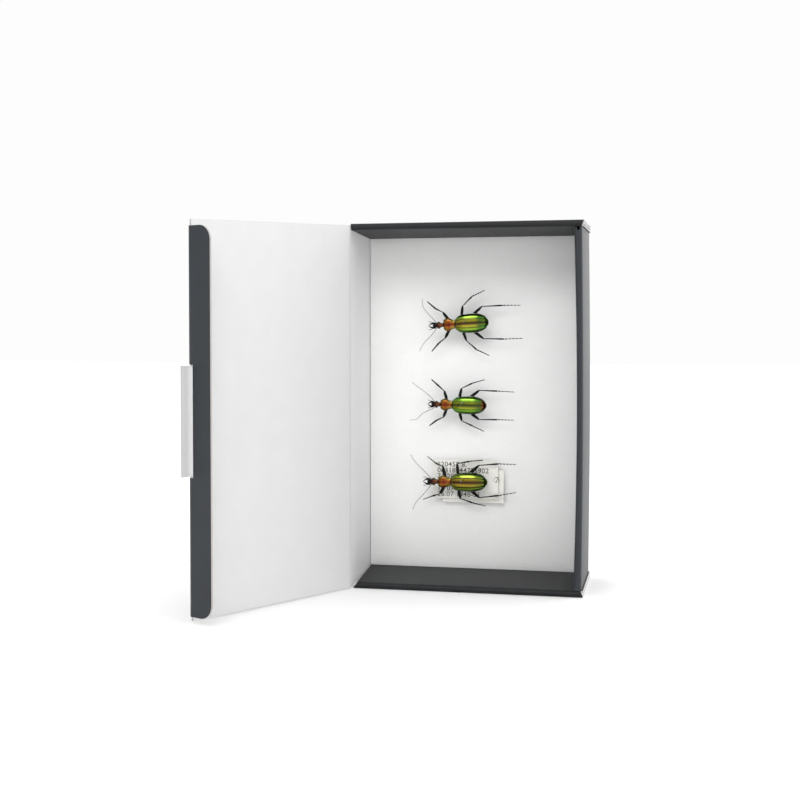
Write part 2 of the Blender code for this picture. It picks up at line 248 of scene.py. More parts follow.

# %% [markdown]
# ## Board and paper finishes
#
# The carton is greyboard lined on both sides: a dark grey uncoated paper outside and a
# white one inside. Round the rolled end walls the grey paper is painted darker, as painted
# shade on those faces, and the lid's white is painted greyer than the tray's, as painted shade;
# it is one grey and one white paper. Where the board is cut, its pale core shows in layers. All
# are papers, so they are rough and barely glossy, with short fibres of about 0.3 mm. Noise on
# Object coordinates gives fibres and a slow mottle in real millimetres, and a bump from the
# same noise breaks up the light at grazing angles.

# %% Lined board
FIBRE = 1 / (0.3 * MM)  # noise scale for features of that size, on coordinates in metres
MOTTLE = 1 / (9 * MM)
LAYER = 1 / (0.16 * MM)  # plies of the greyboard core
ROUGH_SPREAD = 0.08  # fibres make the gloss uneven by that much either way


def lined_paper(name, dark, light, roughness, sheen_gloss, grain_depth):
    """A paper lining pasted on board: mottled colour, soft fibre grain, a low broad gloss."""
    material = bpy.data.materials.new(name)
    material.use_nodes = True
    tree = material.node_tree
    shader = tree.nodes["Principled BSDF"]
    place = add_node(tree, "ShaderNodeTexCoord").outputs["Object"]
    mottle = add_node(tree, "ShaderNodeTexNoise", {"Vector": place, "Scale": MOTTLE, "Detail": 4.0})
    fibre = add_node(
        tree, "ShaderNodeTexNoise",
        {"Vector": place, "Scale": FIBRE, "Detail": 3.0, "Roughness": 0.65},
    )
    blend = add_node(
        tree, "ShaderNodeMath", {0: mottle.outputs[0], 1: fibre.outputs[0]}, operation="ADD"
    )
    half = add_node(tree, "ShaderNodeMath", {0: blend.outputs[0], 1: 0.5}, operation="MULTIPLY")
    colour = add_node(
        tree, "ShaderNodeValToRGB", {0: half.outputs[0]}, stops=((0.35, dark), (0.65, light))
    )
    rough = add_node(
        tree, "ShaderNodeMapRange",
        {"Value": fibre.outputs[0], "To Min": roughness - ROUGH_SPREAD,
         "To Max": roughness + ROUGH_SPREAD},
    )
    bump = add_node(
        tree, "ShaderNodeBump",
        {"Height": fibre.outputs[0], "Strength": 0.35, "Distance": grain_depth * MM},
    )
    tree.links.new(colour.outputs[0], shader.inputs["Base Color"])
    tree.links.new(rough.outputs[0], shader.inputs["Roughness"])
    tree.links.new(bump.outputs[0], shader.inputs["Normal"])
    shader.inputs["Specular IOR Level"].default_value = sheen_gloss
    return material


def cut_board():
    """Greyboard where the knife has opened it: pale grey plies with a fuzzy surface."""
    material = bpy.data.materials.new("cut_greyboard")
    material.use_nodes = True
    tree = material.node_tree
    shader = tree.nodes["Principled BSDF"]
    place = add_node(tree, "ShaderNodeTexCoord").outputs["Object"]
    plies = add_node(
        tree, "ShaderNodeTexNoise", {"Vector": place, "Scale": LAYER, "Detail": 2.0}
    )
    colour = add_node(
        tree, "ShaderNodeValToRGB", {0: plies.outputs[0]},
        stops=((0.3, "#9A9495"), (0.55, "#B8B3B2"), (0.75, "#D2CFCD")),
    )
    bump = add_node(
        tree, "ShaderNodeBump", {"Height": plies.outputs[0], "Strength": 0.5, "Distance": 0.05 * MM}
    )
    tree.links.new(colour.outputs[0], shader.inputs["Base Color"])
    tree.links.new(bump.outputs[0], shader.inputs["Normal"])
    shader.inputs["Roughness"].default_value = 0.85
    return material


GREY_LINING = lined_paper("dark_grey_lining_paper", "#24282D", "#292D32", 0.45, 0.36, 0.03)
# a darker copy of the same grey paper: painted shade on the end walls' outer faces and strips
SHADED_GREY_LINING = lined_paper("dark_grey_paper_painted_shade", "#16181A", "#1B1D20", 0.5, 0.28, 0.03)
WHITE_LINING = lined_paper("white_lining_paper", "#F2F2F2", "#F5F5F5", 0.7, 0.35, 0.02)
# a greyer copy of the same white paper: painted shade on the lid, its flap and the crease strips
SHADED_WHITE_LINING = lined_paper("white_paper_painted_shade", "#D8D8D8", "#DCDCDC", 0.7, 0.35, 0.02)
CUT_BOARD = cut_board()
board_finishes = (GREY_LINING, SHADED_GREY_LINING, WHITE_LINING, SHADED_WHITE_LINING, CUT_BOARD)
print("board finishes:", [finish.name for finish in board_finishes])

# %% [markdown]
# ## How the board is folded
#
# Every wall of the carton is a flat board folded along scored lines. A fold could be made by
# bevelling a box, but a board keeps its thickness round a fold, so each wall is drawn as the
# middle line of its board seen end on, with an arc at every fold. The line is offset half a
# thickness to each side and run along the fold. Each end of that run may depend on where the
# board is in the section, which gives the mitred and slanted cuts.

# %% Folding helpers
BOARD = 0.8  # mm, as every length of a section
HALF = BOARD / 2
FOLD = 0.5  # radius of a fold at the middle of the board
ROLL = 0.85  # radius of the two folds of a rolled edge
CUT_SOFTNESS = 0.07 * MM
tray_low, tray_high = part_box("tray")
TRAY = (tray_high - tray_low) / MM


def at(x, y, z):
    """A point of the tray, in millimetres from its low left front corner, in the row frame."""
    return tray_low + Vector((x, y, z)) * MM


def sideways(direction):
    """The unit direction a quarter turn to the left, in the plane of a section."""
    return Vector((-direction.y, direction.x)).normalized()


def middle_line(corners, radii, steps=5):
    """(point, left normal) along a folded board's middle, with an arc at each inner corner."""
    corners = [Vector(corner) for corner in corners]
    line = [(corners[0], sideways(corners[1] - corners[0]))]
    for before, corner, after, radius in zip(corners, corners[1:], corners[2:], radii):
        into, out = (corner - before).normalized(), (after - corner).normalized()
        turned = math.atan2(into.cross(out), into.dot(out))
        hand = math.copysign(1, turned)
        start = corner - into * radius * abs(math.tan(turned / 2))
        centre = start + sideways(into) * hand * radius
        for k in range(steps + 1):
            normal = Matrix.Rotation(turned * k / steps, 2) @ sideways(into)
            line.append((centre - normal * hand * radius, normal))
    line.append((corners[-1], sideways(corners[-1] - corners[-2])))
    return line


def folded_board(line, place, span, stations, thickness=BOARD):
    """A board of that middle line, run from span(point)[0] to [1]. Faces: 0 left, 1 right, 2 cut."""
    bm = bmesh.new()
    grid = []
    for point, normal in line:
        sides = []
        for side in (0.5, -0.5):
            spot = point + normal * side * thickness
            start, end = span(spot)
            steps = [start + (end - start) * k / (stations - 1) for k in range(stations)]
            sides.append([bm.verts.new(place(spot, step)) for step in steps])
        grid.append(sides)

    def face(finish, *verts):
        """Adds one face with that finish."""
        bm.faces.new(verts).material_index = finish

    for a, b in zip(grid, grid[1:]):
        for k in range(stations - 1):
            for side in (0, 1):
                face(side, a[side][k], b[side][k], b[side][k + 1], a[side][k + 1])
        for k in (0, stations - 1):
            face(2, a[0][k], a[1][k], b[1][k], b[0][k])
    for sides in (grid[0], grid[-1]):
        for k in range(stations - 1):
            face(2, sides[0][k], sides[1][k], sides[1][k + 1], sides[0][k + 1])
    bmesh.ops.recalc_face_normals(bm, faces=bm.faces)
    return bm


def make_piece(name, bm, *materials, smooth_under=35):
    """Writes a mesh to a new object at the origin, smooth except at edges sharper than that."""
    mesh = bpy.data.meshes.new(name)
    bm.to_mesh(mesh)
    bm.free()
    for material in materials:
        mesh.materials.append(material)
    mesh.shade_smooth()
    mesh.set_sharp_from_angle(angle=math.radians(smooth_under))
    piece = bpy.data.objects.new(name, mesh)
    bpy.context.scene.collection.objects.link(piece)
    return piece


def soften_cuts(piece, width=CUT_SOFTNESS):
    """Rounds a board's cut edges a little, as the knife and handling leave them."""
    bevel = piece.modifiers.new("softened cuts", "BEVEL")
    bevel.width = width
    bevel.segments = 2
    bevel.limit_method = "ANGLE"
    bevel.angle_limit = math.radians(50)
    bevel.harden_normals = True


print("tray in mm:", [round(v, 2) for v in TRAY])

# %% [markdown]
# ## Tray: the wrapped sheet
#
# One board runs up the hinge wall, across the back and down the tuck wall, where it rolls
# over at the front and comes back as an inner layer. The hinge wall is single, so its white
# lining shows. Nothing holds the tuck wall in front of the foam, so its outer layer swells
# outwards at mid height and its inner layer stands into the box at its two ends. Its rolled
# front edge has a small hole by the top corner.

# %% Wrapped sheet
END_ROLL = 2.6  # mm, front width of the rolled top and bottom walls
SIDE_ROLL = 3.2  # and of the tuck wall
BULGE = 0.6  # the tuck wall's outer layer stands that much further out at mid height
FLARE = 0.6  # its inner layer stands that far into the box at its two ends,
PINCH = 1.3  # and is pressed back by that much at mid height
TUCK_ROLL = 1.5  # the tuck wall turns over softly at its outer front edge
WIDTH, DEEP, TALL = TRAY
TUCK_INNER = WIDTH - SIDE_ROLL  # x of the inner layer's visible face
FREE_DEPTH = DEEP - 12  # behind that, the foam keeps the inner layer straight
INNER_END = DEEP - 1.1  # inner layers stop just short of the back panel
LAYER_GAP = 0.05
WRAP_STATIONS = 25


def wrap_span(spot):
    """Lower and upper end of the wrapped sheet, by where it is in the section."""
    x, y = spot
    if x < TUCK_INNER - 1 and y > DEEP - 2:  # the back panel
        return 1.2, TALL - 1.2
    if x < 5:  # the hinge wall
        return 0.82, TALL - 0.85
    return END_ROLL + LAYER_GAP, TALL - END_ROLL - LAYER_GAP


def wrap_place(spot, z):
    """Stands the section up, and lets the tuck wall's two layers bulge and flare."""
    outer = min(max((spot.x - TUCK_INNER - 1) / (SIDE_ROLL - 1.5), 0), 1)
    swell = math.sin(math.pi * min(max(z / TALL, 0), 1))
    x = spot.x - BULGE * (1 - swell) * outer
    if spot.x > TUCK_INNER - 1:
        x += (PINCH * swell - FLARE) * (1 - outer) * max(1 - spot.y / FREE_DEPTH, 0)
    return at(x, spot.y, z)


wrap_line = middle_line(
    [
        (HALF, 0), (HALF, DEEP - HALF), (WIDTH - HALF, DEEP - HALF), (WIDTH - HALF, HALF),
        (TUCK_INNER + HALF, HALF), (TUCK_INNER + HALF, INNER_END),
    ],
    (FOLD, FOLD, TUCK_ROLL, ROLL),
)
wrap = make_piece(
    "wrapped_walls", folded_board(wrap_line, wrap_place, wrap_span, WRAP_STATIONS),
    GREY_LINING, WHITE_LINING, CUT_BOARD,
)
print("wrapped walls:", len(wrap.data.polygons), "faces")

# %% Corner hole
HOLE_SIDES = 20
HOLE_RADIUS, HOLE_DEPTH = 1.2, 2.4  # mm
HOLE_OFFSET = (0.5, 0.3)  # left of the roll's middle, and below the top wall's strip


def punch(piece, centre, radius, depth, lining):
    """Cuts a round hole along Y through a piece; lining is the finish of the hole's wall."""
    cutter_bm = bmesh.new()
    bmesh.ops.create_cone(
        cutter_bm, cap_ends=True, segments=HOLE_SIDES, radius1=radius, radius2=radius, depth=depth
    )
    lying = Matrix.Rotation(math.radians(90), 3, "X")
    bmesh.ops.rotate(cutter_bm, matrix=lying, verts=cutter_bm.verts)
    bmesh.ops.translate(cutter_bm, vec=centre, verts=cutter_bm.verts)
    for face in cutter_bm.faces:
        face.material_index = lining
    cutter = make_piece("hole punch", cutter_bm, *piece.data.materials)
    cut = piece.modifiers.new("punched hole", "BOOLEAN")
    cut.object = cutter
    cut.solver = "EXACT"
    graph = bpy.context.evaluated_depsgraph_get()
    punched = bpy.data.meshes.new_from_object(piece.evaluated_get(graph))
    piece.modifiers.clear()
    piece.data = punched
    bpy.data.objects.remove(cutter)


hole = at(WIDTH - SIDE_ROLL / 2 - HOLE_OFFSET[0], 0, TALL - END_ROLL - HOLE_OFFSET[1])
punch(wrap, hole, HOLE_RADIUS * MM, HOLE_DEPTH * MM, 0)
soften_cuts(wrap)
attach(wrap, "carton")
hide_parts("tray")
print("corner hole at", [round(v / MM, 1) for v in hole], "mm")

# %% [markdown]
# ## Tray: the rolled end walls
#
# The top and bottom walls fold forward from the back, roll over at the front in a narrow
# strip and run back inside, leaning in until they meet the foam. They reach the full width,
# so at the tuck side their cut ends show as a stack of layers. The strips' own ends are cut
# on a slant, and stop a little short of the hinge.

# %% End walls
TOP_LEAN, BOTTOM_LEAN = 2.0, 1.2  # how far the inner layers lean in by the back
OUTER_SHARE = 0.38  # the outer layer's share of the roll
STRIP_DEPTH = 0.9  # the front strip is that deep
SLANT = 1.2  # how fast the strip's end at the tuck side is cut back
BACK_TURN = 1.2  # the outer layer turns up the back by that much
END_STATIONS = 49


def top_span(spot):
    """Left and right end of the top wall, by where it is in the section."""
    y, z = spot
    down = (TALL - z) / END_ROLL
    if down < OUTER_SHARE or y > DEEP - STRIP_DEPTH:  # outer layer, and the turn up the back
        return 0.9 * max(1 - y / 5, 0), WIDTH
    if y < STRIP_DEPTH:  # front strip
        return 1.3 - 0.3 * down, WIDTH - SLANT * max(down - 0.3, 0)
    return 0.95, WIDTH


def bottom_span(spot):
    """Left and right end of the bottom wall, by where it is in the section."""
    y, z = spot
    up = z / END_ROLL
    if up < OUTER_SHARE or y > DEEP - STRIP_DEPTH:  # outer layer, and the turn up the back
        return 1.9 * max(1 - y / 6, 0), WIDTH
    if y < STRIP_DEPTH:  # front strip
        return 1.9 + 1.3 * up, WIDTH - SLANT * max(up - 0.3, 0)
    return 3.2 - 2.25 * min(y / 37, 1), WIDTH  # slanting back as far as the foam


def leaning(edge, inwards, lean):
    """Places an end wall's section: its inner layer leans in, except where the tuck wall holds it."""

    def place(spot, x):
        """A point of the wall, in the row frame."""
        y, z = spot
        inner = abs(z - edge) > END_ROLL / 2
        loose = min(max((TUCK_INNER + 0.4 - x) / 2, 0), 1)
        leant = lean * max(y - HALF, 0) / DEEP * loose if inner else 0.0
        return at(x, y, z + inwards * leant)

    return place


def end_wall(name, edge, inwards, lean, span, *finishes):
    """A rolled wall: edge is the height of its outer face, and inwards +1 or -1 from there."""
    corners = [
        (DEEP - HALF, edge + inwards * BACK_TURN), (DEEP - HALF, edge + inwards * HALF),
        (HALF, edge + inwards * HALF), (HALF, edge + inwards * (END_ROLL - HALF)),
        (INNER_END, edge + inwards * (END_ROLL - HALF)),
    ]
    line = middle_line(corners, (FOLD, ROLL, ROLL))
    bm = folded_board(line, leaning(edge, inwards, lean), span, END_STATIONS)
    wall = make_piece(name, bm, *finishes)
    if inwards < 0:
        punch(wall, hole, HOLE_RADIUS * MM, HOLE_DEPTH * MM, 1)
    soften_cuts(wall)
    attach(wall, "carton")
    return wall


# their grey faces take the darker copy of the grey paper, which is painted shade
end_wall("top_wall", TALL, -1, TOP_LEAN, top_span, WHITE_LINING, SHADED_GREY_LINING, CUT_BOARD)
end_wall("bottom_wall", 0, 1, BOTTOM_LEAN, bottom_span, SHADED_GREY_LINING, WHITE_LINING, CUT_BOARD)
print("end walls lean in", TOP_LEAN, "and", BOTTOM_LEAN, "mm")

# %% [markdown]
# ## Lid, pull tab and tuck flap
#
# The lid is one flat board, white inside. At its free edge the flap is folded square, and a
# tab cut out of the fold stays in the lid's own plane as a finger pull. All of these are
# outlines cut with a knife, so they are drawn flat on the lid's plane and given the board's
# thickness. The lid's plane comes from its two joint axes.

# %% Lid plane
joints = {joint["name"]: joint for joint in frame["joints"]}
hinge = Vector(joints["lid_hinge"]["pos_m"])
crease = Vector(joints["flap_crease"]["pos_m"])
LID_REACH = (crease - hinge).length / MM
lid_way = (crease - hinge).normalized()  # from the hinge to the free edge
lid_inner = Vector((-lid_way.y, lid_way.x, 0))  # out of the lid's white face


def on_lid(away, proud, z):
    """A point in millimetres: away from the hinge axis, proud of the lid's middle, above the base."""
    spot = hinge + (lid_way * away + lid_inner * proud) * MM
    return Vector((spot.x, spot.y, tray_low.z + z * MM))


def flat_board(outline, place, left, right):
    """An outline of (a, z) given the board's thickness; left and right are its two finishes."""
    bm = bmesh.new()
    faces = [[bm.verts.new(place(a, side * HALF, z)) for a, z in outline] for side in (1, -1)]
    bm.faces.new(faces[0]).material_index = left
    bm.faces.new(reversed(faces[1])).material_index = right
    count = len(outline)
    for k in range(count):
        m = (k + 1) % count
        bm.faces.new((faces[0][k], faces[1][k], faces[1][m], faces[0][m])).material_index = 2
    bmesh.ops.recalc_face_normals(bm, faces=bm.faces)
    return bm


def arc(centre, radius, start, end, steps=10):
    """Points round part of a circle, between two angles in degrees."""
    angles = [math.radians(start + (end - start) * k / steps) for k in range(steps + 1)]
    return [(centre[0] + radius * math.cos(a), centre[1] + radius * math.sin(a)) for a in angles]


print("lid reaches", round(LID_REACH, 1), "mm along", [round(v, 3) for v in lid_way])

# %% Lid
HINGE_CLEAR, CREASE_CLEAR = 0.35, 0.8  # mm left to the crease strips beside each crease
TAB_LOW, TAB_HIGH = 53.9, 94.1  # heights of the pull tab's ends
TAB_REACH = 4.1  # beyond the flap's crease
lid_low, lid_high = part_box("lid")
LID_BOTTOM, LID_TOP = (lid_low.z - tray_low.z) / MM, (lid_high.z - tray_low.z) / MM
FREE_TAPER = (0.7, 2.1)  # how much less the free edge reaches at the bottom and top

free = LID_REACH - CREASE_CLEAR
tab_end = LID_REACH + TAB_REACH
lid_outline = [
    (HINGE_CLEAR, LID_BOTTOM), (free, LID_BOTTOM + FREE_TAPER[0]), (free, TAB_LOW),
    (tab_end, TAB_LOW), (tab_end, TAB_HIGH), (free, TAB_HIGH),
    (free, LID_TOP - FREE_TAPER[1]), (HINGE_CLEAR, LID_TOP),
]
# the lid's white face takes the greyer copy of the white paper, which is painted shade
lid = make_piece(
    "lid_board", flat_board(lid_outline, on_lid, 0, 1), SHADED_WHITE_LINING, GREY_LINING, CUT_BOARD
)
soften_cuts(lid)
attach(lid, "lid_panel")
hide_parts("lid")
print("lid", round(LID_TOP - LID_BOTTOM, 1), "mm high")

# %% Tuck flap
FLAP_DEPTH, FLAP_CORNER = 11.1, 5.5
SLOT_DEPTH, SLOT_MARGIN = 1.95, 0.4  # the slot that the pull tab leaves in the flap
flap_low, flap_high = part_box("tuck_flap")
FLAP_BOTTOM, FLAP_TOP = (flap_low.z - tray_low.z) / MM, (flap_high.z - tray_low.z) / MM


def on_flap(away, proud, z):
    """A point of the flap, away from its crease and proud of its middle, on its outer side."""
    return on_lid(LID_REACH + proud, away, z)


inner_edge = FLAP_DEPTH - FLAP_CORNER
flap_outline = [
    (CREASE_CLEAR, FLAP_BOTTOM),
    *arc((inner_edge, FLAP_BOTTOM + FLAP_CORNER), FLAP_CORNER, -90, 0),
    *arc((inner_edge, FLAP_TOP - FLAP_CORNER), FLAP_CORNER, 0, 90),
    (CREASE_CLEAR, FLAP_TOP), (CREASE_CLEAR, TAB_HIGH + SLOT_MARGIN),
    (SLOT_DEPTH, TAB_HIGH + SLOT_MARGIN), (SLOT_DEPTH, TAB_LOW - SLOT_MARGIN),
    (CREASE_CLEAR, TAB_LOW - SLOT_MARGIN),
]
flap = make_piece(
    "flap_board", flat_board(flap_outline, on_flap, 0, 1), GREY_LINING, SHADED_WHITE_LINING, CUT_BOARD
)
soften_cuts(flap)
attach(flap, "flap")
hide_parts("tuck_flap")
print("flap", FLAP_DEPTH, "mm deep, corners", FLAP_CORNER, "mm")

# %% [markdown]
# ## Creases
#
# At the hinge and at the flap the board isn't cut but scored, and bends. A narrow strip of
# the same board, bent round the crease where the lid stands now, joins the pieces on either
# side; it is fixed in place and rides on neither body. It has several rows of faces across
# the bend.

# %% Crease strips
BEND_ROWS = 3
BEND_STATIONS = 9
HINGE_BEND, FLAP_BEND = 1.2, 0.72  # radii at the middle of the board, mm


def finer(line, parts=BEND_ROWS):
    """The same middle line with each step cut into parts."""
    rows = []
    for (point, normal), (next_point, next_normal) in zip(line, line[1:]):
        for k in range(parts):
            share = k / parts
            rows.append((point.lerp(next_point, share), normal.lerp(next_normal, share).normalized()))
    return rows + [line[-1]]


def crease_strip(name, corners, radius, place, low, high):
    """A bent strip of board between two bodies, white on its inner side."""
    line = finer(middle_line(corners, (radius,)))
    bm = folded_board(line, place, lambda spot: (low, high), BEND_STATIONS)
    strip = make_piece(name, bm, SHADED_WHITE_LINING, GREY_LINING, CUT_BOARD, smooth_under=50)
    first, last = (place(Vector(corner), low) for corner in (corners[0], corners[-1]))
    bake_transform(strip)
    return strip


axis_x, axis_y = (hinge.x - tray_low.x) / MM, (hinge.y - tray_low.y) / MM
hinge_corners = [
    (HALF, 0), (axis_x, axis_y),
    (axis_x + lid_way.x * HINGE_CLEAR, axis_y + lid_way.y * HINGE_CLEAR),
]
crease_strip(
    "hinge_crease", hinge_corners, HINGE_BEND, lambda spot, z: at(spot.x, spot.y, z),
    LID_BOTTOM, LID_TOP,
)
flap_corners = [(free, 0), (LID_REACH, 0), (LID_REACH, CREASE_CLEAR)]
for name, low, high in (
    ("flap_crease_lower", FLAP_BOTTOM, TAB_LOW - SLOT_MARGIN),
    ("flap_crease_upper", TAB_HIGH + SLOT_MARGIN, FLAP_TOP),
):
    crease_strip(
        name, flap_corners, FLAP_BEND, lambda spot, z: on_lid(spot.x, spot.y, z), low, high,
    )
print("creases join carton, lid and flap")

# %% [markdown]
# ## Foam bed
#
# The specimens stand on a cut sheet of white closed-cell polyethylene foam, pushed into the
# tray so that its edges are slightly squeezed. Its face is a grid that sinks towards the
# edges; the cells, about half a millimetre across, are too shallow to model and go in the
# bump of the material as a Voronoi pattern.

# %% Foam finish
CELL = 1 / (0.55 * MM)  # noise scale for cells of that size
CLOUD = 1 / (14 * MM)  # slow unevenness of the skived face


def closed_cell_foam():
    """White polyethylene foam, skived from a block: matt, with fine open-cut cells."""
    material = bpy.data.materials.new("closed_cell_foam")
    material.use_nodes = True
    tree = material.node_tree
    shader = tree.nodes["Principled BSDF"]
    place = add_node(tree, "ShaderNodeTexCoord").outputs["Object"]
    cells = add_node(
        tree, "ShaderNodeTexVoronoi", {"Vector": place, "Scale": CELL}, feature="SMOOTH_F1"
    )
    cloud = add_node(
        tree, "ShaderNodeTexNoise", {"Vector": place, "Scale": CLOUD, "Detail": 3.0}
    )
    tint = add_node(
        tree, "ShaderNodeMath", {0: cells.outputs["Distance"], 1: cloud.outputs[0]}, operation="MULTIPLY"
    )
    colour = add_node(
        tree, "ShaderNodeValToRGB", {0: tint.outputs[0]}, stops=((0.05, "#F3F3F2"), (0.4, "#F8F8F7"))
    )
    bump = add_node(
        tree, "ShaderNodeBump",
        {"Height": cells.outputs["Distance"], "Strength": 0.4, "Distance": 0.12 * MM},
    )
    tree.links.new(colour.outputs[0], shader.inputs["Base Color"])
    tree.links.new(bump.outputs[0], shader.inputs["Normal"])
    shader.inputs["Roughness"].default_value = 0.85
    shader.inputs["Specular IOR Level"].default_value = 0.3
    return material


FOAM = closed_cell_foam()
print("foam cells per millimetre:", round(CELL * MM, 2))

# %% Foam bed
FOAM_COLUMNS, FOAM_ROWS = 28, 40
SQUEEZE = 0.5 * MM  # how far the face sinks at its very edge
SQUEEZE_WIDTH = 1.6 * MM  # and how far in from the edge that fades
FULLNESS = 0.5 * MM  # it is cut a little too long, so that it grips between the end walls
bed_low = foam_low - Vector((0, 0, FULLNESS))
bed_high = foam_high + Vector((0, 0, FULLNESS))


def eased_steps(low, high, count):
    """Places between two ends, closer together near the ends."""
    return [low + (high - low) * (1 - math.cos(math.pi * k / count)) / 2 for k in range(count + 1)]


def foam_bed():
    """A slab whose front face sinks at the edges; its sides and back are flat."""
    bm = bmesh.new()
    rows = []
    for z in eased_steps(bed_low.z, bed_high.z, FOAM_ROWS):
        row = []
        for x in eased_steps(bed_low.x, bed_high.x, FOAM_COLUMNS):
            margin = min(x - bed_low.x, bed_high.x - x, z - bed_low.z, bed_high.z - z)
            sunk = SQUEEZE * math.exp(-margin / SQUEEZE_WIDTH)
            row.append(bm.verts.new((x, bed_low.y + sunk, z)))
        rows.append(row)
    for a, b in zip(rows, rows[1:]):
        for k in range(len(a) - 1):
            bm.faces.new((a[k], a[k + 1], b[k + 1], b[k]))
    inner_rows = rows[1:-1]
    border = [*rows[0], *(row[-1] for row in inner_rows)]
    border += [*reversed(rows[-1]), *(row[0] for row in reversed(inner_rows))]
    back = [bm.verts.new((vert.co.x, bed_high.y, vert.co.z)) for vert in border]
    for k in range(len(border)):
        bm.faces.new((border[k - 1], border[k], back[k], back[k - 1]))
    bm.faces.new(back)
    bmesh.ops.recalc_face_normals(bm, faces=bm.faces)
    return bm


foam = make_piece("foam_bed", foam_bed(), FOAM)
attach(foam, "carton")
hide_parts("foam_sheet")
print("foam bed", [round(v / MM, 1) for v in bed_high - bed_low], "mm")

# %% [markdown]
# ## Labels
#
# Two small cards hang on the lowest pin, one behind the other, under the beetle. They are
# cream card with lines of typed marks; here the marks are plain numbers. Card curls a
# little, so each label is a thin sheet whose section is a shallow bow. The digits are text
# objects turned into meshes, then laid on the bow.

# %% Paper and ink


def card_and_ink():
    """Smooth cream card with a faint tooth, and dull carbon ribbon ink."""
    made = []
    for name, dark, light, rough in (
        ("label_card", "#EFEEE6", "#F5F4EE", 0.75), ("ribbon_ink", "#3A3A38", "#6A6965", 0.6),
    ):
        material = bpy.data.materials.new(name)
        material.use_nodes = True
        tree = material.node_tree
        shader = tree.nodes["Principled BSDF"]
        place = add_node(tree, "ShaderNodeTexCoord").outputs["Object"]
        tooth = add_node(
            tree, "ShaderNodeTexNoise", {"Vector": place, "Scale": FIBRE, "Detail": 3.0}
        )
        colour = add_node(
            tree, "ShaderNodeValToRGB", {0: tooth.outputs[0]}, stops=((0.35, dark), (0.65, light))
        )
        bump = add_node(
            tree, "ShaderNodeBump",
            {"Height": tooth.outputs[0], "Strength": 0.3, "Distance": 0.02 * MM},
        )
        tree.links.new(colour.outputs[0], shader.inputs["Base Color"])
        tree.links.new(bump.outputs[0], shader.inputs["Normal"])
        shader.inputs["Roughness"].default_value = rough
        made.append(material)
    return made


CARD, INK = card_and_ink()
print("label finishes:", CARD.name, INK.name)

# %% Label cards
CARD_THICKNESS = 0.2  # mm
CARD_COLUMNS = 12
CURL = 0.35  # mm that the card's ends stand forward of its middle


def curl_at(x, low, high):
    """How far forward the card stands at x, in millimetres."""
    share = (2 * x - low.x - high.x) / (high.x - low.x)
    return CURL * share * share


def card(name, node):
    """A bowed card in place of a CAD label."""
    low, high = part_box(node)
    middle = (low.y + high.y) / 2
    line = []
    for k in range(CARD_COLUMNS + 1):
        x = low.x + (high.x - low.x) * k / CARD_COLUMNS
        line.append((Vector((x / MM, middle / MM - curl_at(x, low, high))), Vector((0, 1))))
    bm = folded_board(
        line, lambda spot, z: Vector((spot.x, spot.y, z)) * MM,
        lambda spot: (low.z / MM, high.z / MM), 2, CARD_THICKNESS,
    )
    piece = make_piece(name, bm, CARD, CARD, CARD)
    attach(piece, "carton")
    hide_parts(node)
    return low, high


label_low, label_high = card("front_card", "front_label")
card("back_card", "back_label")
print("front card", [round(v / MM, 1) for v in label_high - label_low], "mm")

# %% Typed numbers
TYPE_SIZE = 3.0  # mm, height of the type's body
TYPE_SPACING = 1.06
TYPE_WEIGHT = 0.016  # mm that the ribbon spreads each stroke
INK_DEPTH = 0.01
TYPED = (
    "120457 8.", "06318244751902", "71 2049 38", "38.66 04 921-", "19 0719 64-7", "26.07 1948-31",
)
LINE_STEP, FIRST_LINE, TYPE_LEFT = 2.56, 2.7, 1.6  # mm from the card's upper left corner
RING_PLACE = (27.1, 8.0)
RING_RADII = (1.02, 1.16)
RING_SIDES = 30
RINGED_DIGIT = (-0.6, 0.85)  # its lower left corner, from the ring's middle


def on_card(left, down, proud=INK_DEPTH):
    """A point of the front card's face, in millimetres from its upper left corner."""
    x = label_low.x + left * MM
    front = (label_low.y + label_high.y) / 2 - CARD_THICKNESS * MM / 2
    y = front - (curl_at(x, label_low, label_high) + proud) * MM
    return Vector((x, y, label_high.z - down * MM))


def typed(body, left, base):
    """One line of digits as a mesh, laid on the front card."""
    text = bpy.data.objects.new("type", bpy.data.curves.new("type", "FONT"))
    text.data.body = body
    text.data.size = TYPE_SIZE
    text.data.space_character = TYPE_SPACING
    text.data.offset = TYPE_WEIGHT
    text.data.extrude = INK_DEPTH
    bpy.context.scene.collection.objects.link(text)
    graph = bpy.context.evaluated_depsgraph_get()
    mesh = bpy.data.meshes.new_from_object(text.evaluated_get(graph))
    bpy.data.objects.remove(text)
    for vert in mesh.vertices:
        vert.co = on_card(left + vert.co.x, base - vert.co.y, INK_DEPTH + vert.co.z)
    return mesh


ink_bm = bmesh.new()
for k, body in enumerate(TYPED):
    ink_bm.from_mesh(typed(body, TYPE_LEFT, FIRST_LINE + LINE_STEP * k))
digit_left, digit_base = RING_PLACE[0] + RINGED_DIGIT[0], RING_PLACE[1] + RINGED_DIGIT[1]
ink_bm.from_mesh(typed("7", digit_left, digit_base))
last_turn = 360 - 360 / RING_SIDES
inner, outer = (
    [
        ink_bm.verts.new(on_card(RING_PLACE[0] + x, RING_PLACE[1] + z))
        for x, z in arc((0, 0), radius, 0, last_turn, RING_SIDES - 1)
    ]
    for radius in RING_RADII
)
for k in range(RING_SIDES):
    ink_bm.faces.new((inner[k - 1], inner[k], outer[k], outer[k - 1]))
ink = make_piece("typed_numbers", ink_bm, INK)
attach(ink, "carton")
print("typed lines:", len(TYPED))

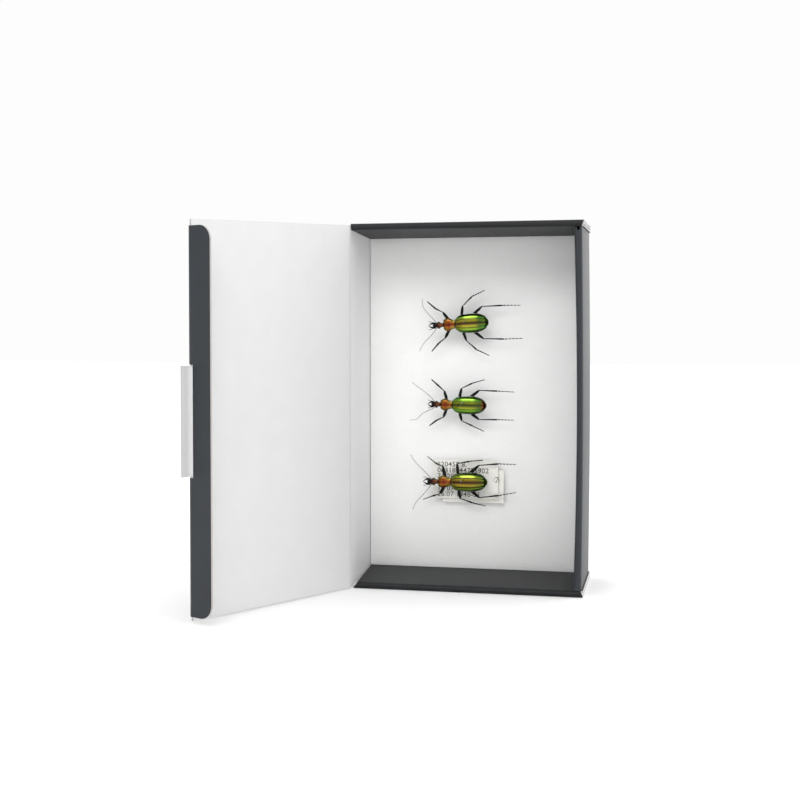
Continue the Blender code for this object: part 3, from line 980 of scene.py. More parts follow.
# %% [markdown]
# ## Insect finishes
#
# A ground beetle's cuticle is chitin. On the back it is built in layers that reflect one
# band of colour like a metal, here green on the wing cases and copper on the chest and head,
# so those finishes are metallic with a coloured base, under a thin clear waxy coat that
# sharpens their highlights. The legs are plain black cuticle, a satin dielectric. The
# metallic finishes read a UV map named shell: on a wing case U runs from front to back and V
# from the middle to the side. On the wing cases that colour is partly the animal's and partly
# painted light: painted shade down the flanks and over the hind part, and painted light at the
# side edge and the tail tip.

# %% Metallic cuticle
PUNCTURE = 1 / (0.14 * MM)  # fine dimples all over the back
COAT_ROUGHNESS = 0.08
RIB_STEPS = 4  # rib crests lie at quarters of the wing case's width


def metallic_cuticle(
    name, across, along, rib_colour="#000000", rib_share=0.0, roughness=0.2, coat=0.0
):
    """Polished metallic cuticle: a colour by V, shaded by U, with lengthwise rib stripes."""
    material = bpy.data.materials.new(name)
    material.use_nodes = True
    tree = material.node_tree
    shader = tree.nodes["Principled BSDF"]
    shell = add_node(tree, "ShaderNodeUVMap", uv_map="shell")
    parts = add_node(tree, "ShaderNodeSeparateXYZ", {0: shell.outputs[0]})
    sideways_colour = add_node(tree, "ShaderNodeValToRGB", {0: parts.outputs["Y"]}, stops=across)
    length_colour = add_node(tree, "ShaderNodeValToRGB", {0: parts.outputs["X"]}, stops=along)
    shaded = add_node(
        tree, "ShaderNodeMix", {0: 1.0, 6: sideways_colour.outputs[0], 7: length_colour.outputs[0]},
        data_type="RGBA", blend_type="MULTIPLY",
    )
    turns = add_node(
        tree, "ShaderNodeMath", {0: parts.outputs["Y"], 1: 2 * math.pi * RIB_STEPS},
        operation="MULTIPLY",
    )
    wave = add_node(tree, "ShaderNodeMath", {0: turns.outputs[0]}, operation="COSINE")
    rib = add_node(
        tree, "ShaderNodeMapRange",
        {"Value": wave.outputs[0], "From Min": 0.2, "From Max": 0.9, "To Max": rib_share},
        interpolation_type="SMOOTHSTEP",
    )
    striped = add_node(
        tree, "ShaderNodeMix", {0: rib.outputs[0], 6: shaded.outputs[2], 7: linear(rib_colour)},
        data_type="RGBA",
    )
    place = add_node(tree, "ShaderNodeTexCoord").outputs["Object"]
    punctures = add_node(tree, "ShaderNodeTexVoronoi", {"Vector": place, "Scale": PUNCTURE})
    bump = add_node(
        tree, "ShaderNodeBump",
        {"Height": punctures.outputs["Distance"], "Strength": 0.25, "Distance": 0.02 * MM},
    )
    tree.links.new(striped.outputs[2], shader.inputs["Base Color"])
    tree.links.new(bump.outputs[0], shader.inputs["Normal"])
    shader.inputs["Metallic"].default_value = 1.0
    shader.inputs["Roughness"].default_value = roughness
    shader.inputs["Coat Weight"].default_value = coat
    shader.inputs["Coat Roughness"].default_value = COAT_ROUGHNESS
    return material


WING_COAT = 0.5
# the cuticle's bronze, gold and green, with painted shade in the dark band past the middle, painted
# light at the side edge, and partly a painted highlight tint in the yellow band
WING_ACROSS_WITH_PAINTED_LIGHT = (  # bronze by the seam, then gold to green
    (0.0, "#402A06"), (0.04, "#6E580A"), (0.12, "#9C8C16"), (0.26, "#9AAE24"), (0.46, "#78A42C"),
    (0.62, "#4C8826"), (0.76, "#246224"), (0.88, "#288038"), (1.0, "#34A050"),
)
# each along ramp dims the hind part, partly a teal tint and partly painted shade, and lightens the tail
# tip as painted light
WING_FINISHES = [  # the second beetle's wing cases end in red
    metallic_cuticle(
        "green_wing_cuticle_1", WING_ACROSS_WITH_PAINTED_LIGHT,
        ((0.0, "#E0D498"), (0.3, "#FFFFFF"), (0.6, "#ECFCD8"), (0.74, "#70AC8C"),
         (0.9, "#90D8B4"), (1.0, "#C0FFE0")),
        "#3E2E06", 0.9, coat=WING_COAT,
    ),
    metallic_cuticle(
        "green_wing_cuticle_2", WING_ACROSS_WITH_PAINTED_LIGHT,
        ((0.0, "#CCE4A8"), (0.6, "#D4ECB0"), (0.8, "#78A078"), (0.92, "#D8644A"), (1.0, "#FF8A6A")),
        "#304C0E", 0.8, coat=WING_COAT,
    ),
    metallic_cuticle(
        "green_wing_cuticle_3", WING_ACROSS_WITH_PAINTED_LIGHT,
        ((0.0, "#F0D898"), (0.6, "#E4D898"), (0.84, "#9CB870"), (0.93, "#A8D078"), (1.0, "#C8F090")),
        "#42260A", 0.95, coat=WING_COAT,
    ),
]
CHEST = metallic_cuticle(
    "coppery_chest_cuticle",
    ((0.0, "#4E5A1E"), (0.14, "#86762A"), (0.3, "#A06E2A"), (0.42, "#8A4A1A"), (0.5, "#5E1C0C"),
     (0.58, "#8A4A1A"), (0.7, "#A06E2A"), (0.86, "#86762A"), (1.0, "#4E5A1E")),
    ((0.0, "#C8C878"), (0.2, "#FFFFFF"), (0.5, "#D08C74"), (0.8, "#F8E0A0"), (1.0, "#948848")),
    roughness=0.24, coat=0.3,
)
FACE = metallic_cuticle(
    "coppery_head_cuticle",
    ((0.0, "#4A4A1C"), (0.3, "#7A4A26"), (0.5, "#6A3018"), (0.7, "#7A4A26"), (1.0, "#4A4A1C")),
    ((0.0, "#2A2622"), (0.3, "#7A6654"), (1.0, "#FFFFFF")), roughness=0.32, coat=0.3,
)
print("metallic finishes:", [m.name for m in (*WING_FINISHES, CHEST, FACE)])

# %% Plain cuticle, eyes and steel
WRINKLE = 1 / (0.2 * MM)
SCRATCH_WIDTH, SCRATCH_LENGTH = 0.05 * MM, 2 * MM


def plain_cuticle(name, dark, light, roughness, coat=0.0):
    """Unlayered cuticle: dark, satin, faintly wrinkled."""
    material = bpy.data.materials.new(name)
    material.use_nodes = True
    tree = material.node_tree
    shader = tree.nodes["Principled BSDF"]
    place = add_node(tree, "ShaderNodeTexCoord").outputs["Object"]
    wrinkle = add_node(
        tree, "ShaderNodeTexNoise", {"Vector": place, "Scale": WRINKLE, "Detail": 3.0}
    )
    colour = add_node(
        tree, "ShaderNodeValToRGB", {0: wrinkle.outputs[0]}, stops=((0.35, dark), (0.65, light))
    )
    bump = add_node(
        tree, "ShaderNodeBump",
        {"Height": wrinkle.outputs[0], "Strength": 0.3, "Distance": 0.03 * MM},
    )
    tree.links.new(colour.outputs[0], shader.inputs["Base Color"])
    tree.links.new(bump.outputs[0], shader.inputs["Normal"])
    shader.inputs["Roughness"].default_value = roughness
    shader.inputs["Coat Weight"].default_value = coat
    shader.inputs["Specular IOR Level"].default_value = 0.18
    return material


def drawn_steel():
    """Drawn and polished steel wire, with fine scratches along it, which is along Y."""
    material = bpy.data.materials.new("drawn_steel_wire")
    material.use_nodes = True
    tree = material.node_tree
    shader = tree.nodes["Principled BSDF"]
    place = add_node(tree, "ShaderNodeTexCoord").outputs["Object"]
    stretch = (1 / SCRATCH_WIDTH, 1 / SCRATCH_LENGTH, 1 / SCRATCH_WIDTH)
    lengthwise = add_node(tree, "ShaderNodeMapping", {"Vector": place, "Scale": stretch})
    scratch = add_node(tree, "ShaderNodeTexNoise", {"Vector": lengthwise.outputs[0], "Scale": 1.0})
    rough = add_node(
        tree, "ShaderNodeMapRange", {"Value": scratch.outputs[0], "To Min": 0.2, "To Max": 0.4}
    )
    tree.links.new(rough.outputs[0], shader.inputs["Roughness"])
    shader.inputs["Base Color"].default_value = linear("#96979A")
    shader.inputs["Metallic"].default_value = 1.0
    return material


BLACK = plain_cuticle("black_leg_cuticle", "#040404", "#090808", 0.5)
HORN = plain_cuticle("brown_antenna_cuticle", "#4A4138", "#6A5F54", 0.5)
EYE = plain_cuticle("compound_eye", "#15100C", "#2A211A", 0.18, 0.6)
STEEL = drawn_steel()
print("plain finishes:", BLACK.name, HORN.name, EYE.name, STEEL.name)

# %% [markdown]
# ## Where each beetle stands
#
# A beetle is laid out on its own axes: u runs to the tail, v to its right side and w up off
# the margin of its wing cases. The frame gives the place: the pin's axis goes through the
# right wing case at a known u and v, and the margin is the top of the body's box. Leg and
# antenna directions are the ones that the CAD model has, in degrees from +X towards +Z.

# %% Beetle plan
PIN_PLACE = (4.9, 1.0)  # u and v, mm
# turn is in degrees. scale, leg_reach, broad, chest and muzzle multiply the whole beetle, its
# legs' length, its hind body's width, its chest's width and its head's length.
BEETLES = [
    {
        "turn": 3.5, "scale": 0.98, "leg_reach": 1.14, "broad": 1.1, "chest": 1.1, "muzzle": 1.2,
        "broad_feet": True,
        "legs": {
            "right": {"front": (130, 154, 140), "middle": (86, 46, 26), "hind": (43, 3, 0)},
            "left": {"front": (-118, -143, -131), "middle": (-70, -42, -25), "hind": (-37, -1, 2)},
        },
        "antennae": {"right": (133, 134, 123, 91), "left": (-126, -137, -129, -117)},
    },
    {
        "turn": -1.0, "scale": 1.0, "leg_reach": 1.0, "broad": 1.0, "chest": 0.96, "muzzle": 1.0,
        "broad_feet": True,
        "legs": {
            "right": {"front": (108, 141, 139), "middle": (79, 26, 16), "hind": (38, -2, -3)},
            "left": {"front": (-113, -155, -143), "middle": (-77, -26, -25), "hind": (-38, 0, -1)},
        },
        "antennae": {"right": (136, 140, 146, 141), "left": (-158, -150, -129, -175)},
    },
    {
        "turn": 0.5, "scale": 1.07, "leg_reach": 1.0, "broad": 1.0, "chest": 0.92, "muzzle": 1.12,
        "broad_feet": False,
        "legs": {
            "right": {"front": (105, 157, 143), "middle": (96, 11, 6), "hind": (41, 5, -1)},
            "left": {"front": (-123, -161, -158), "middle": (-81, -19, -13), "hind": (-40, 7, 11)},
        },
        "antennae": {"right": (134, 137, 135, 119), "left": (-127, -133, -133, -114)},
    },
]


def beetle_matrix(number, beetle):
    """Takes a beetle's own (u, v, w) in millimetres to the row frame."""
    pin_low, pin_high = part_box(f"pin_{number}")
    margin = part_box(f"beetle_{number}_body")[0].y
    c, s = math.cos(math.radians(beetle["turn"])), math.sin(math.radians(beetle["turn"]))
    axes = Matrix(((c, -s, 0), (0, 0, -1), (s, c, 0))).to_4x4()
    sized = axes @ Matrix.Scale(beetle["scale"] * MM, 4)
    pin = (pin_low + pin_high) / 2
    to_pin = sized @ Vector((*PIN_PLACE, 0))
    return Matrix.Translation((pin.x - to_pin.x, margin, pin.z - to_pin.z)) @ sized


for number, beetle in enumerate(BEETLES, 1):
    beetle["matrix"] = beetle_matrix(number, beetle)
    print("beetle", number, "at", [round(v / MM, 1) for v in beetle["matrix"].translation])

# %% [markdown]
# ## Skinning helpers
#
# Every part of a beetle is a row of closed sections joined by faces: a wing case, a chest, a
# thigh. One function skins such rows and closes both ends, and can write the shell UV map.
# A second makes round sections along a line of points, which is a limb.

# %% Skinning helpers


def spaced(values, share):
    """A smooth curve through evenly spaced values, read at a share from 0 to 1."""
    place = share * (len(values) - 1)
    k = min(int(place), len(values) - 2)
    padded = [2 * values[0] - values[1], *values, 2 * values[-1] - values[-2]]
    a, b, c, d = padded[k:k + 4]
    t = place - k
    bend = (2 * a - 5 * b + 4 * c - d) * t * t + (3 * b - a - 3 * c + d) * t ** 3
    return 0.5 * (2 * b + (c - a) * t + bend)


def skin(bm, rings, finish=0, marks=None):
    """Joins closed rings of points, and closes the two ends. marks are the rings' (u, v)."""
    layer = bm.loops.layers.uv.get("shell") or bm.loops.layers.uv.new("shell")
    rows = [[bm.verts.new(point) for point in ring] for ring in rings]
    flat = marks or [[(0.5, 0.5)] * len(ring) for ring in rings]
    where = {vert: mark for row, ring in zip(rows, flat) for vert, mark in zip(row, ring)}

    def face(verts):
        """Adds one face and writes its corners' shell coordinates."""
        made = bm.faces.new(verts)
        made.material_index = finish
        for loop in made.loops:
            loop[layer].uv = where[loop.vert]

    for a, b in zip(rows, rows[1:]):
        for k in range(len(a)):
            m = (k + 1) % len(a)
            face((a[k], a[m], b[m], b[k]))
    face(rows[0][::-1])
    face(rows[-1])


def tube(bm, points, radii, finish=0, sides=10, flat=1.0):
    """Skins round sections along a line; flat squeezes them in one direction."""
    points = [Vector(point) for point in points]
    rings = []
    across = None
    for k, (point, radius) in enumerate(zip(points, radii)):
        ahead = (points[min(k + 1, len(points) - 1)] - points[max(k - 1, 0)]).normalized()
        across = Vector((0, 0, 1)) if across is None else across
        across = (across - ahead * across.dot(ahead)).normalized()
        level = ahead.cross(across)
        turns = [2 * math.pi * n / sides for n in range(sides)]
        rings.append([
            point + (across * math.cos(a) * flat + level * math.sin(a)) * radius for a in turns
        ])
    skin(bm, rings, finish)


def ball(bm, centre, size, finish=0, sides=12, rows=8):
    """An ellipsoid with its poles along u."""
    centre, rings = Vector(centre), []
    for k in range(1, rows):
        polar = math.pi * k / rows
        turns = [2 * math.pi * n / sides for n in range(sides)]
        rings.append([
            centre + Vector((
                -math.cos(polar) * size[0], math.sin(polar) * math.cos(a) * size[1],
                math.sin(polar) * math.sin(a) * size[2],
            )) for a in turns
        ])
    skin(bm, rings, finish)


def power(value, exponent):
    """A signed power, for rounded-square sections."""
    return math.copysign(abs(value) ** exponent, value)


def place_part(name, bm, number, slot, node, *finishes):
    """Moves a part from its beetle's axes to the row frame, and stands it for its CAD node."""
    bmesh.ops.transform(bm, matrix=BEETLES[number - 1]["matrix"], verts=bm.verts)
    bmesh.ops.recalc_face_normals(bm, faces=bm.faces)
    piece = make_piece(f"beetle_{number}_{name}", bm, *finishes, smooth_under=60)
    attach(piece, "carton")
    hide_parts(f"beetle_{number}_{node}")
    return piece


print("a quarter along 0, 1, 0:", round(spaced((0, 1, 0), 0.25), 3))

# %% [markdown]
# ## Wing cases
#
# The hard fore wings meet in a straight seam and cover the hind body. Each is widest past
# its middle, squares off at the shoulder and rounds to the tail, with three low ribs along
# it. Sculpting would do, but the shape follows rules that can be written down: a half width
# and a height for each station along it, a squarish section between, and a cosine for ribs.

# %% Wing cases
WING_LENGTH, WING_WIDTH, WING_DOME = 14.5, 7.6, 2.7
WING_START = 0.1  # its front edge, behind the chest
WING_FLOOR = 0.1  # its lower face, above the margin
WING_THIN = 0.12  # the least height of its upper face
TUCKED_UNDER = 0.2  # the lower face ends that far in from the side
SEAM = 0.05
WING_SQUARE = 2.5  # exponent of the section: 2 is an ellipse, more is squarer
RIB_HEIGHT = 0.07
WING_STATIONS, WING_COLUMNS = 36, 32
HALF_WIDTHS = (0.50, 0.78, 0.89, 0.94, 0.97, 0.99, 1.0, 0.985, 0.95, 0.885, 0.775, 0.57, 0.12)
HEIGHTS = (0.42, 0.70, 0.85, 0.94, 0.985, 1.0, 1.0, 0.98, 0.93, 0.84, 0.70, 0.48, 0.12)


def wing_case(side, broad):
    """One wing case, closed underneath; side is +1 on the beetle's right."""
    bm = bmesh.new()
    rings, marks = [], []
    for k in range(WING_STATIONS + 1):
        share = k / WING_STATIONS
        half = spaced(HALF_WIDTHS, share) * WING_WIDTH / 2 * broad
        height = spaced(HEIGHTS, share) * WING_DOME
        fade = min(1, 8 * share, 6 * (1 - share))
        ring, mark = [], []
        for n in range(WING_COLUMNS + 1):
            t = n / WING_COLUMNS
            angle = math.radians(90) * t
            rib = (0.5 + 0.5 * math.cos(2 * math.pi * RIB_STEPS * t)) ** 1.5 * RIB_HEIGHT * fade
            v = half * power(math.sin(angle), 2 / WING_SQUARE) + rib * math.sin(angle)
            w = height * power(math.cos(angle), 2 / WING_SQUARE) + rib * math.cos(angle)
            ring.append((WING_START + WING_LENGTH * share, side * max(v, SEAM), max(w, WING_THIN)))
            mark.append((share, t))
        u = ring[-1][0]
        ring += [(u, side * (half - TUCKED_UNDER), WING_FLOOR), (u, side * SEAM, WING_FLOOR)]
        mark += [(share, 1.0), (share, 1.0)]
        rings.append(ring)
        marks.append(mark)
    tail = WING_START + WING_LENGTH
    rings.append([(tail, v * 0.55, WING_FLOOR + (w - WING_FLOOR) * 0.4) for _, v, w in rings[-1]])
    marks.append(marks[-1])
    skin(bm, rings, 0, marks)
    return bm


for number, beetle in enumerate(BEETLES, 1):
    for side_name, side in (("right", 1), ("left", -1)):
        place_part(
            f"{side_name}_wing_case", wing_case(side, beetle["broad"]), number, "green_cuticle",
            f"{side_name}_elytron", WING_FINISHES[number - 1],
        )
print("wing cases:", WING_STATIONS, "stations of", WING_COLUMNS, "columns")

# %% [markdown]
# ## Chest, head and underside
#
# The chest shield is heart-shaped: widest before its middle, narrow where it meets the wing
# cases, with raised margins, a fine groove down the middle and a dent by each hind corner.
# The head carries bulging eyes, a pair of hooked jaws and thin feelers. Both are rows of
# sections again. Below the wing cases the hind body is ringed, and black all over.

# %% Chest shield
CHEST_LENGTH, CHEST_WIDTH = 4.8, 5.3
CHEST_TOP, CHEST_BELOW, CHEST_LIFT = 1.15, 1.08, 0.2
CHEST_WIDTHS = (0.66, 0.68, 0.73, 0.84, 0.95, 1.0, 0.99, 0.93, 0.82, 0.66)
CHEST_HEIGHTS = (0.66, 0.82, 0.92, 0.97, 1.0, 1.0, 0.97, 0.9, 0.8, 0.62)
CHEST_STATIONS, CHEST_COLUMNS = 26, 48
CHEST_START = -0.15  # its base, just before the wing cases
CHEST_SQUARE = 0.85  # exponent of its section: 1 is an ellipse, less is squarer
RIM_FROM, RIM_HEIGHT = 0.86, 0.16  # share of the half width where the margin starts to rise
GROOVE_DEPTH, GROOVE_WIDTH = 0.1, 0.16
DENT_DEPTH = 0.25
DENT_PLACE, DENT_SIZE = (0.14, 0.62), (0.1, 0.2)  # shares of the length and half width


def chest_shield(broad):
    """The shield and the chest below it, as one closed form, from the base forwards."""
    bm = bmesh.new()
    rings, marks = [], []
    for k in range(CHEST_STATIONS + 1):
        share = k / CHEST_STATIONS
        half = spaced(CHEST_WIDTHS, share) * CHEST_WIDTH / 2 * broad
        top = spaced(CHEST_HEIGHTS, share) * CHEST_TOP
        ring, mark = [], []
        for n in range(CHEST_COLUMNS):
            angle = 2 * math.pi * n / CHEST_COLUMNS
            across, rise = math.cos(angle), math.sin(angle)
            v = half * power(across, CHEST_SQUARE)
            w = (top if rise > 0 else CHEST_BELOW) * power(rise, CHEST_SQUARE)
            if rise > 0:
                out = abs(v) / half
                groove = GROOVE_DEPTH * math.exp(-(v / GROOVE_WIDTH) ** 2)
                along = (share - DENT_PLACE[0]) / DENT_SIZE[0]
                aside = (out - DENT_PLACE[1]) / DENT_SIZE[1]
                dent = DENT_DEPTH * math.exp(-along ** 2 - aside ** 2)
                rim = RIM_HEIGHT * max(out - RIM_FROM, 0) / (1 - RIM_FROM)
                w += rim - groove - dent
            ring.append((CHEST_START - CHEST_LENGTH * share, v, w + CHEST_LIFT))
            mark.append((share, 0.5 + 0.5 * v / half))
        rings.append(ring)
        marks.append(mark)
    ends = [
        [(u, v * 0.8, CHEST_LIFT + (w - CHEST_LIFT) * 0.75) for u, v, w in ring]
        for ring in (rings[0], rings[-1])
    ]
    skin(bm, [ends[0], *rings, ends[1]], 0, [marks[0], *marks, marks[-1]])
    return bm


for number, beetle in enumerate(BEETLES, 1):
    place_part(
        "chest", chest_shield(beetle["chest"]), number, "coppery_cuticle", "pronotum", CHEST
    )
print("chest", CHEST_LENGTH, "by", CHEST_WIDTH, "mm")

# %% Head
HEAD_START, HEAD_LENGTH = -5.0, 3.4
HEAD_WIDTHS = (0.56, 0.58, 0.62, 0.78, 0.8, 0.7, 0.62, 0.5)
HEAD_HEIGHTS = (0.62, 0.66, 0.74, 0.8, 0.78, 0.66, 0.5, 0.3)
HEAD_HALF = 1.55
HEAD_STATIONS, HEAD_COLUMNS = 14, 24
EYE_PLACE, EYE_SIZE = (-6.75, 1.12, 0.25), (0.52, 0.42, 0.46)
LIP_PLACE, LIP_SIZE = (-8.25, 0, 0.1), (0.75, 0.95, 0.45)
JAW_START, JAW_LENGTH = -8.1, 2.4
MOUTH_STEPS = 8


def reached(u, muzzle):
    """A place along the head, once the head is stretched forwards from its neck by muzzle."""
    return HEAD_START + (u - HEAD_START) * muzzle


def jaw(side):
    """One hooked jaw: points forward from the head's front, curving in to a sharp tip."""
    shares = [k / MOUTH_STEPS for k in range(MOUTH_STEPS + 1)]
    spreads = [0.74 + 0.3 * math.sin(math.pi * s ** 0.8) - 0.66 * s ** 2 for s in shares]
    points = [(JAW_START - JAW_LENGTH * s, side * v, 0.0) for s, v in zip(shares, spreads)]
    return points, [0.6 - 0.5 * s for s in shares]


def feeler(side, start, reach, spread):
    """A thin mouth feeler, jointed and curving outwards."""
    shares = [k / MOUTH_STEPS for k in range(MOUTH_STEPS + 1)]
    points = [
        (start - reach * s, side * (0.75 + spread * math.sin(0.5 * math.pi * s)), -0.35 - 0.25 * s)
        for s in shares
    ]
    return points, [0.1 + 0.035 * math.sin(3 * math.pi * s) for s in shares]


def head(muzzle):
    """Skull, eyes, lip, jaws and feelers. Finishes: 0 copper, 1 black, 2 eye, 3 brown."""
    bm = bmesh.new()
    rings, marks = [], []
    for k in range(HEAD_STATIONS + 1):
        share = k / HEAD_STATIONS
        half = spaced(HEAD_WIDTHS, share) * HEAD_HALF
        tall = spaced(HEAD_HEIGHTS, share)
        ring, mark = [], []
        for n in range(HEAD_COLUMNS):
            angle = 2 * math.pi * n / HEAD_COLUMNS
            v, w = half * power(math.cos(angle), 0.85), tall * power(math.sin(angle), 0.9)
            ring.append((HEAD_START - HEAD_LENGTH * share, v, w))
            mark.append((1 - share, 0.5 + 0.5 * v / half))
        rings.append(ring)
        marks.append(mark)
    skin(bm, rings, 0, marks)
    ball(bm, LIP_PLACE, LIP_SIZE, 1)
    for side in (1, -1):
        u, v, w = EYE_PLACE
        ball(bm, (u, side * v, w), EYE_SIZE, 2)
        tube(bm, *jaw(side), 1, 10, 0.6)
        tube(bm, *feeler(side, -7.9, 2.6, 0.95), 3, 8)
        tube(bm, *feeler(side, -7.8, 1.7, 0.45), 3, 8)
    for vert in bm.verts:
        vert.co.x = reached(vert.co.x, muzzle)
    return bm


for number, beetle in enumerate(BEETLES, 1):
    place_part(
        "head_and_jaws", head(beetle["muzzle"]), number, "coppery_cuticle", "head",
        FACE, BLACK, EYE, HORN,
    )
print("heads reach", round(-HEAD_START + HEAD_LENGTH + JAW_LENGTH, 1), "mm forward")

# %% Underside
BODY_DEEP = 2.0
BODY_START, BODY_LENGTH = 0.3, 14.0
BODY_STATIONS, BODY_COLUMNS = 48, 28
BELLY_FROM, BELLY_RINGS = 0.42, 6  # the belly's rings start at that share of the body
BODY_WIDTHS = (0.5, 0.86, 0.9, 0.93, 0.96, 0.98, 0.97, 0.92, 0.82, 0.62, 0.3)


def underside(broad):
    """Hind chest and ringed belly, reaching up inside the wing cases, with a waist and a neck."""
    bm = bmesh.new()
    rings = []
    for k in range(BODY_STATIONS + 1):
        share = k / BODY_STATIONS
        half = spaced(BODY_WIDTHS, share) * (WING_WIDTH / 2 - TUCKED_UNDER) * broad
        belly = max(share - BELLY_FROM, 0) / (1 - BELLY_FROM)
        step = 0.1 * (1 - (belly * BELLY_RINGS) % 1) if belly > 0 else 0.0
        deep = BODY_DEEP * math.sin(math.pi * (0.12 + 0.80 * share)) ** 0.5 - step
        ring = []
        for n in range(BODY_COLUMNS):
            angle = 2 * math.pi * n / BODY_COLUMNS
            rise = math.sin(angle)
            w = (0.5 if rise > 0 else deep) * power(rise, 0.8)
            ring.append((BODY_START + BODY_LENGTH * share, half * power(math.cos(angle), 0.8), w))
        rings.append(ring)
    skin(bm, rings)
    tube(bm, [(0.8, 0, -0.3), (-0.6, 0, -0.3)], [1.3, 1.2], 0, 20)  # waist
    tube(bm, [(-4.6, 0, 0.05), (-5.4, 0, 0.0)], [0.85, 0.8], 0, 16)  # neck
    return bm


for number, beetle in enumerate(BEETLES, 1):
    place_part(
        "underside", underside(beetle["broad"]), number, "black_cuticle", "body", BLACK
    )
print("belly rings:", BELLY_RINGS)

# %% [markdown]
# ## Jointed feet and antennae
#
# A foot is five little joints in a row and an antenna eleven, each narrow at its start and
# wider at its end. Modelling each joint by hand would be slow, so a Geometry Nodes tree does
# it: it takes a drawn line, resamples it, and gives every point a radius that swells once
# per joint. The same tree makes both, with its sizes as named inputs.

# %% Jointed limb tree
POINTS_A_JOINT = 8


def jointed_limb_tree():
    """Builds the node tree. Inputs: the line, joints, root and tip radius, waist, finish."""
    tree = bpy.data.node_groups.new("jointed_limb", "GeometryNodeTree")
    face = tree.interface
    face.new_socket("Geometry", in_out="INPUT", socket_type="NodeSocketGeometry")
    face.new_socket("Joints", in_out="INPUT", socket_type="NodeSocketInt")
    for name in ("Root radius", "Tip radius", "Waist"):
        face.new_socket(name, in_out="INPUT", socket_type="NodeSocketFloat")
    face.new_socket("Finish", in_out="INPUT", socket_type="NodeSocketMaterial")
    face.new_socket("Geometry", in_out="OUTPUT", socket_type="NodeSocketGeometry")
    given = add_node(tree, "NodeGroupInput").outputs
    line = add_node(tree, "GeometryNodeMeshToCurve", {0: given["Geometry"]})
    count = add_node(
        tree, "ShaderNodeMath", {0: given["Joints"], 1: POINTS_A_JOINT, 2: 1.0},
        operation="MULTIPLY_ADD",
    )
    even = add_node(
        tree, "GeometryNodeResampleCurve", {"Curve": line.outputs[0], "Count": count.outputs[0]}
    )
    share = add_node(tree, "GeometryNodeSplineParameter").outputs["Factor"]
    joint = add_node(tree, "ShaderNodeMath", {0: share, 1: given["Joints"]}, operation="MULTIPLY")
    along = add_node(tree, "ShaderNodeMath", {0: joint.outputs[0]}, operation="FRACT")
    late = add_node(tree, "ShaderNodeMath", {0: along.outputs[0], 1: 1.5}, operation="POWER")
    half_turn = add_node(
        tree, "ShaderNodeMath", {0: late.outputs[0], 1: math.pi}, operation="MULTIPLY"
    )
    swell = add_node(tree, "ShaderNodeMath", {0: half_turn.outputs[0]}, operation="SINE")
    girth = add_node(
        tree, "ShaderNodeMapRange", {"Value": swell.outputs[0], "To Min": given["Waist"], "To Max": 1.0}
    )
    radius = add_node(
        tree, "ShaderNodeMapRange",
        {"Value": share, "To Min": given["Root radius"], "To Max": given["Tip radius"]},
    )
    scale = add_node(
        tree, "ShaderNodeMath", {0: radius.outputs[0], 1: girth.outputs[0]}, operation="MULTIPLY"
    )
    ring = add_node(tree, "GeometryNodeCurvePrimitiveCircle", {"Resolution": 8, "Radius": 1.0})
    skin_node = add_node(
        tree, "GeometryNodeCurveToMesh",
        {"Curve": even.outputs[0], "Profile Curve": ring.outputs[0], "Scale": scale.outputs[0],
         "Fill Caps": True},
    )
    real = add_node(tree, "GeometryNodeRealizeInstances", {0: skin_node.outputs[0]})
    done = add_node(
        tree, "GeometryNodeSetMaterial", {"Geometry": real.outputs[0], "Material": given["Finish"]}
    )
    add_node(tree, "NodeGroupOutput", {0: done.outputs[0]})
    return tree


LIMB_TREE = jointed_limb_tree()


def jointed(points, joints, root, tip, waist, finish):
    """A mesh of jointed limb along points, made by the tree and then plain."""
    drawn = bpy.data.meshes.new("line")
    drawn.from_pydata([tuple(p) for p in points], [(k, k + 1) for k in range(len(points) - 1)], [])
    holder = bpy.data.objects.new("line", drawn)
    bpy.context.scene.collection.objects.link(holder)
    modifier = holder.modifiers.new("jointed limb", "NODES")
    modifier.node_group = LIMB_TREE
    sizes = {
        "Joints": joints, "Root radius": root, "Tip radius": tip, "Waist": waist, "Finish": finish,
    }
    for item in LIMB_TREE.interface.items_tree:
        if item.in_out == "INPUT" and item.name in sizes:
            modifier[item.identifier] = sizes[item.name]
    graph = bpy.context.evaluated_depsgraph_get()
    mesh = bpy.data.meshes.new_from_object(holder.evaluated_get(graph))
    bpy.data.objects.remove(holder)
    return mesh


print("tree:", LIMB_TREE.name, "with", len(LIMB_TREE.nodes), "nodes")

# %% [markdown]
# ## Legs
#
# Each leg has a thick thigh, a thin shin that widens to its end and carries two spurs, and a
# jointed foot with two claws. Males' front feet have broad joints. The leg's corners are
# worked out as in the CAD model, from lengths, directions and how far each corner hangs.

# %% Legs
LEG_ROOT_DEPTH = 2.15  # below the wing cases' margin
LEGS = {
    "front": {"lengths": (4.4, 3.3, 4.4), "root": (-2.5, 1.5), "drops": (0.4, 1.1, 1.5)},
    "middle": {"lengths": (4.8, 5.1, 5.6), "root": (2.6, 2.2), "drops": (0.5, 1.1, 1.5)},
    "hind": {"lengths": (6.5, 7.7, 7.4), "root": (6.0, 2.2), "drops": (0.4, 1.0, 1.5)},
}
THIGH_GIRTHS = (0.34, 0.5, 0.6, 0.64, 0.64, 0.6, 0.5, 0.28)
SHIN_GIRTHS = (0.17, 0.2, 0.22, 0.24, 0.27, 0.31, 0.35, 0.26)
FOOT_JOINTS = 5
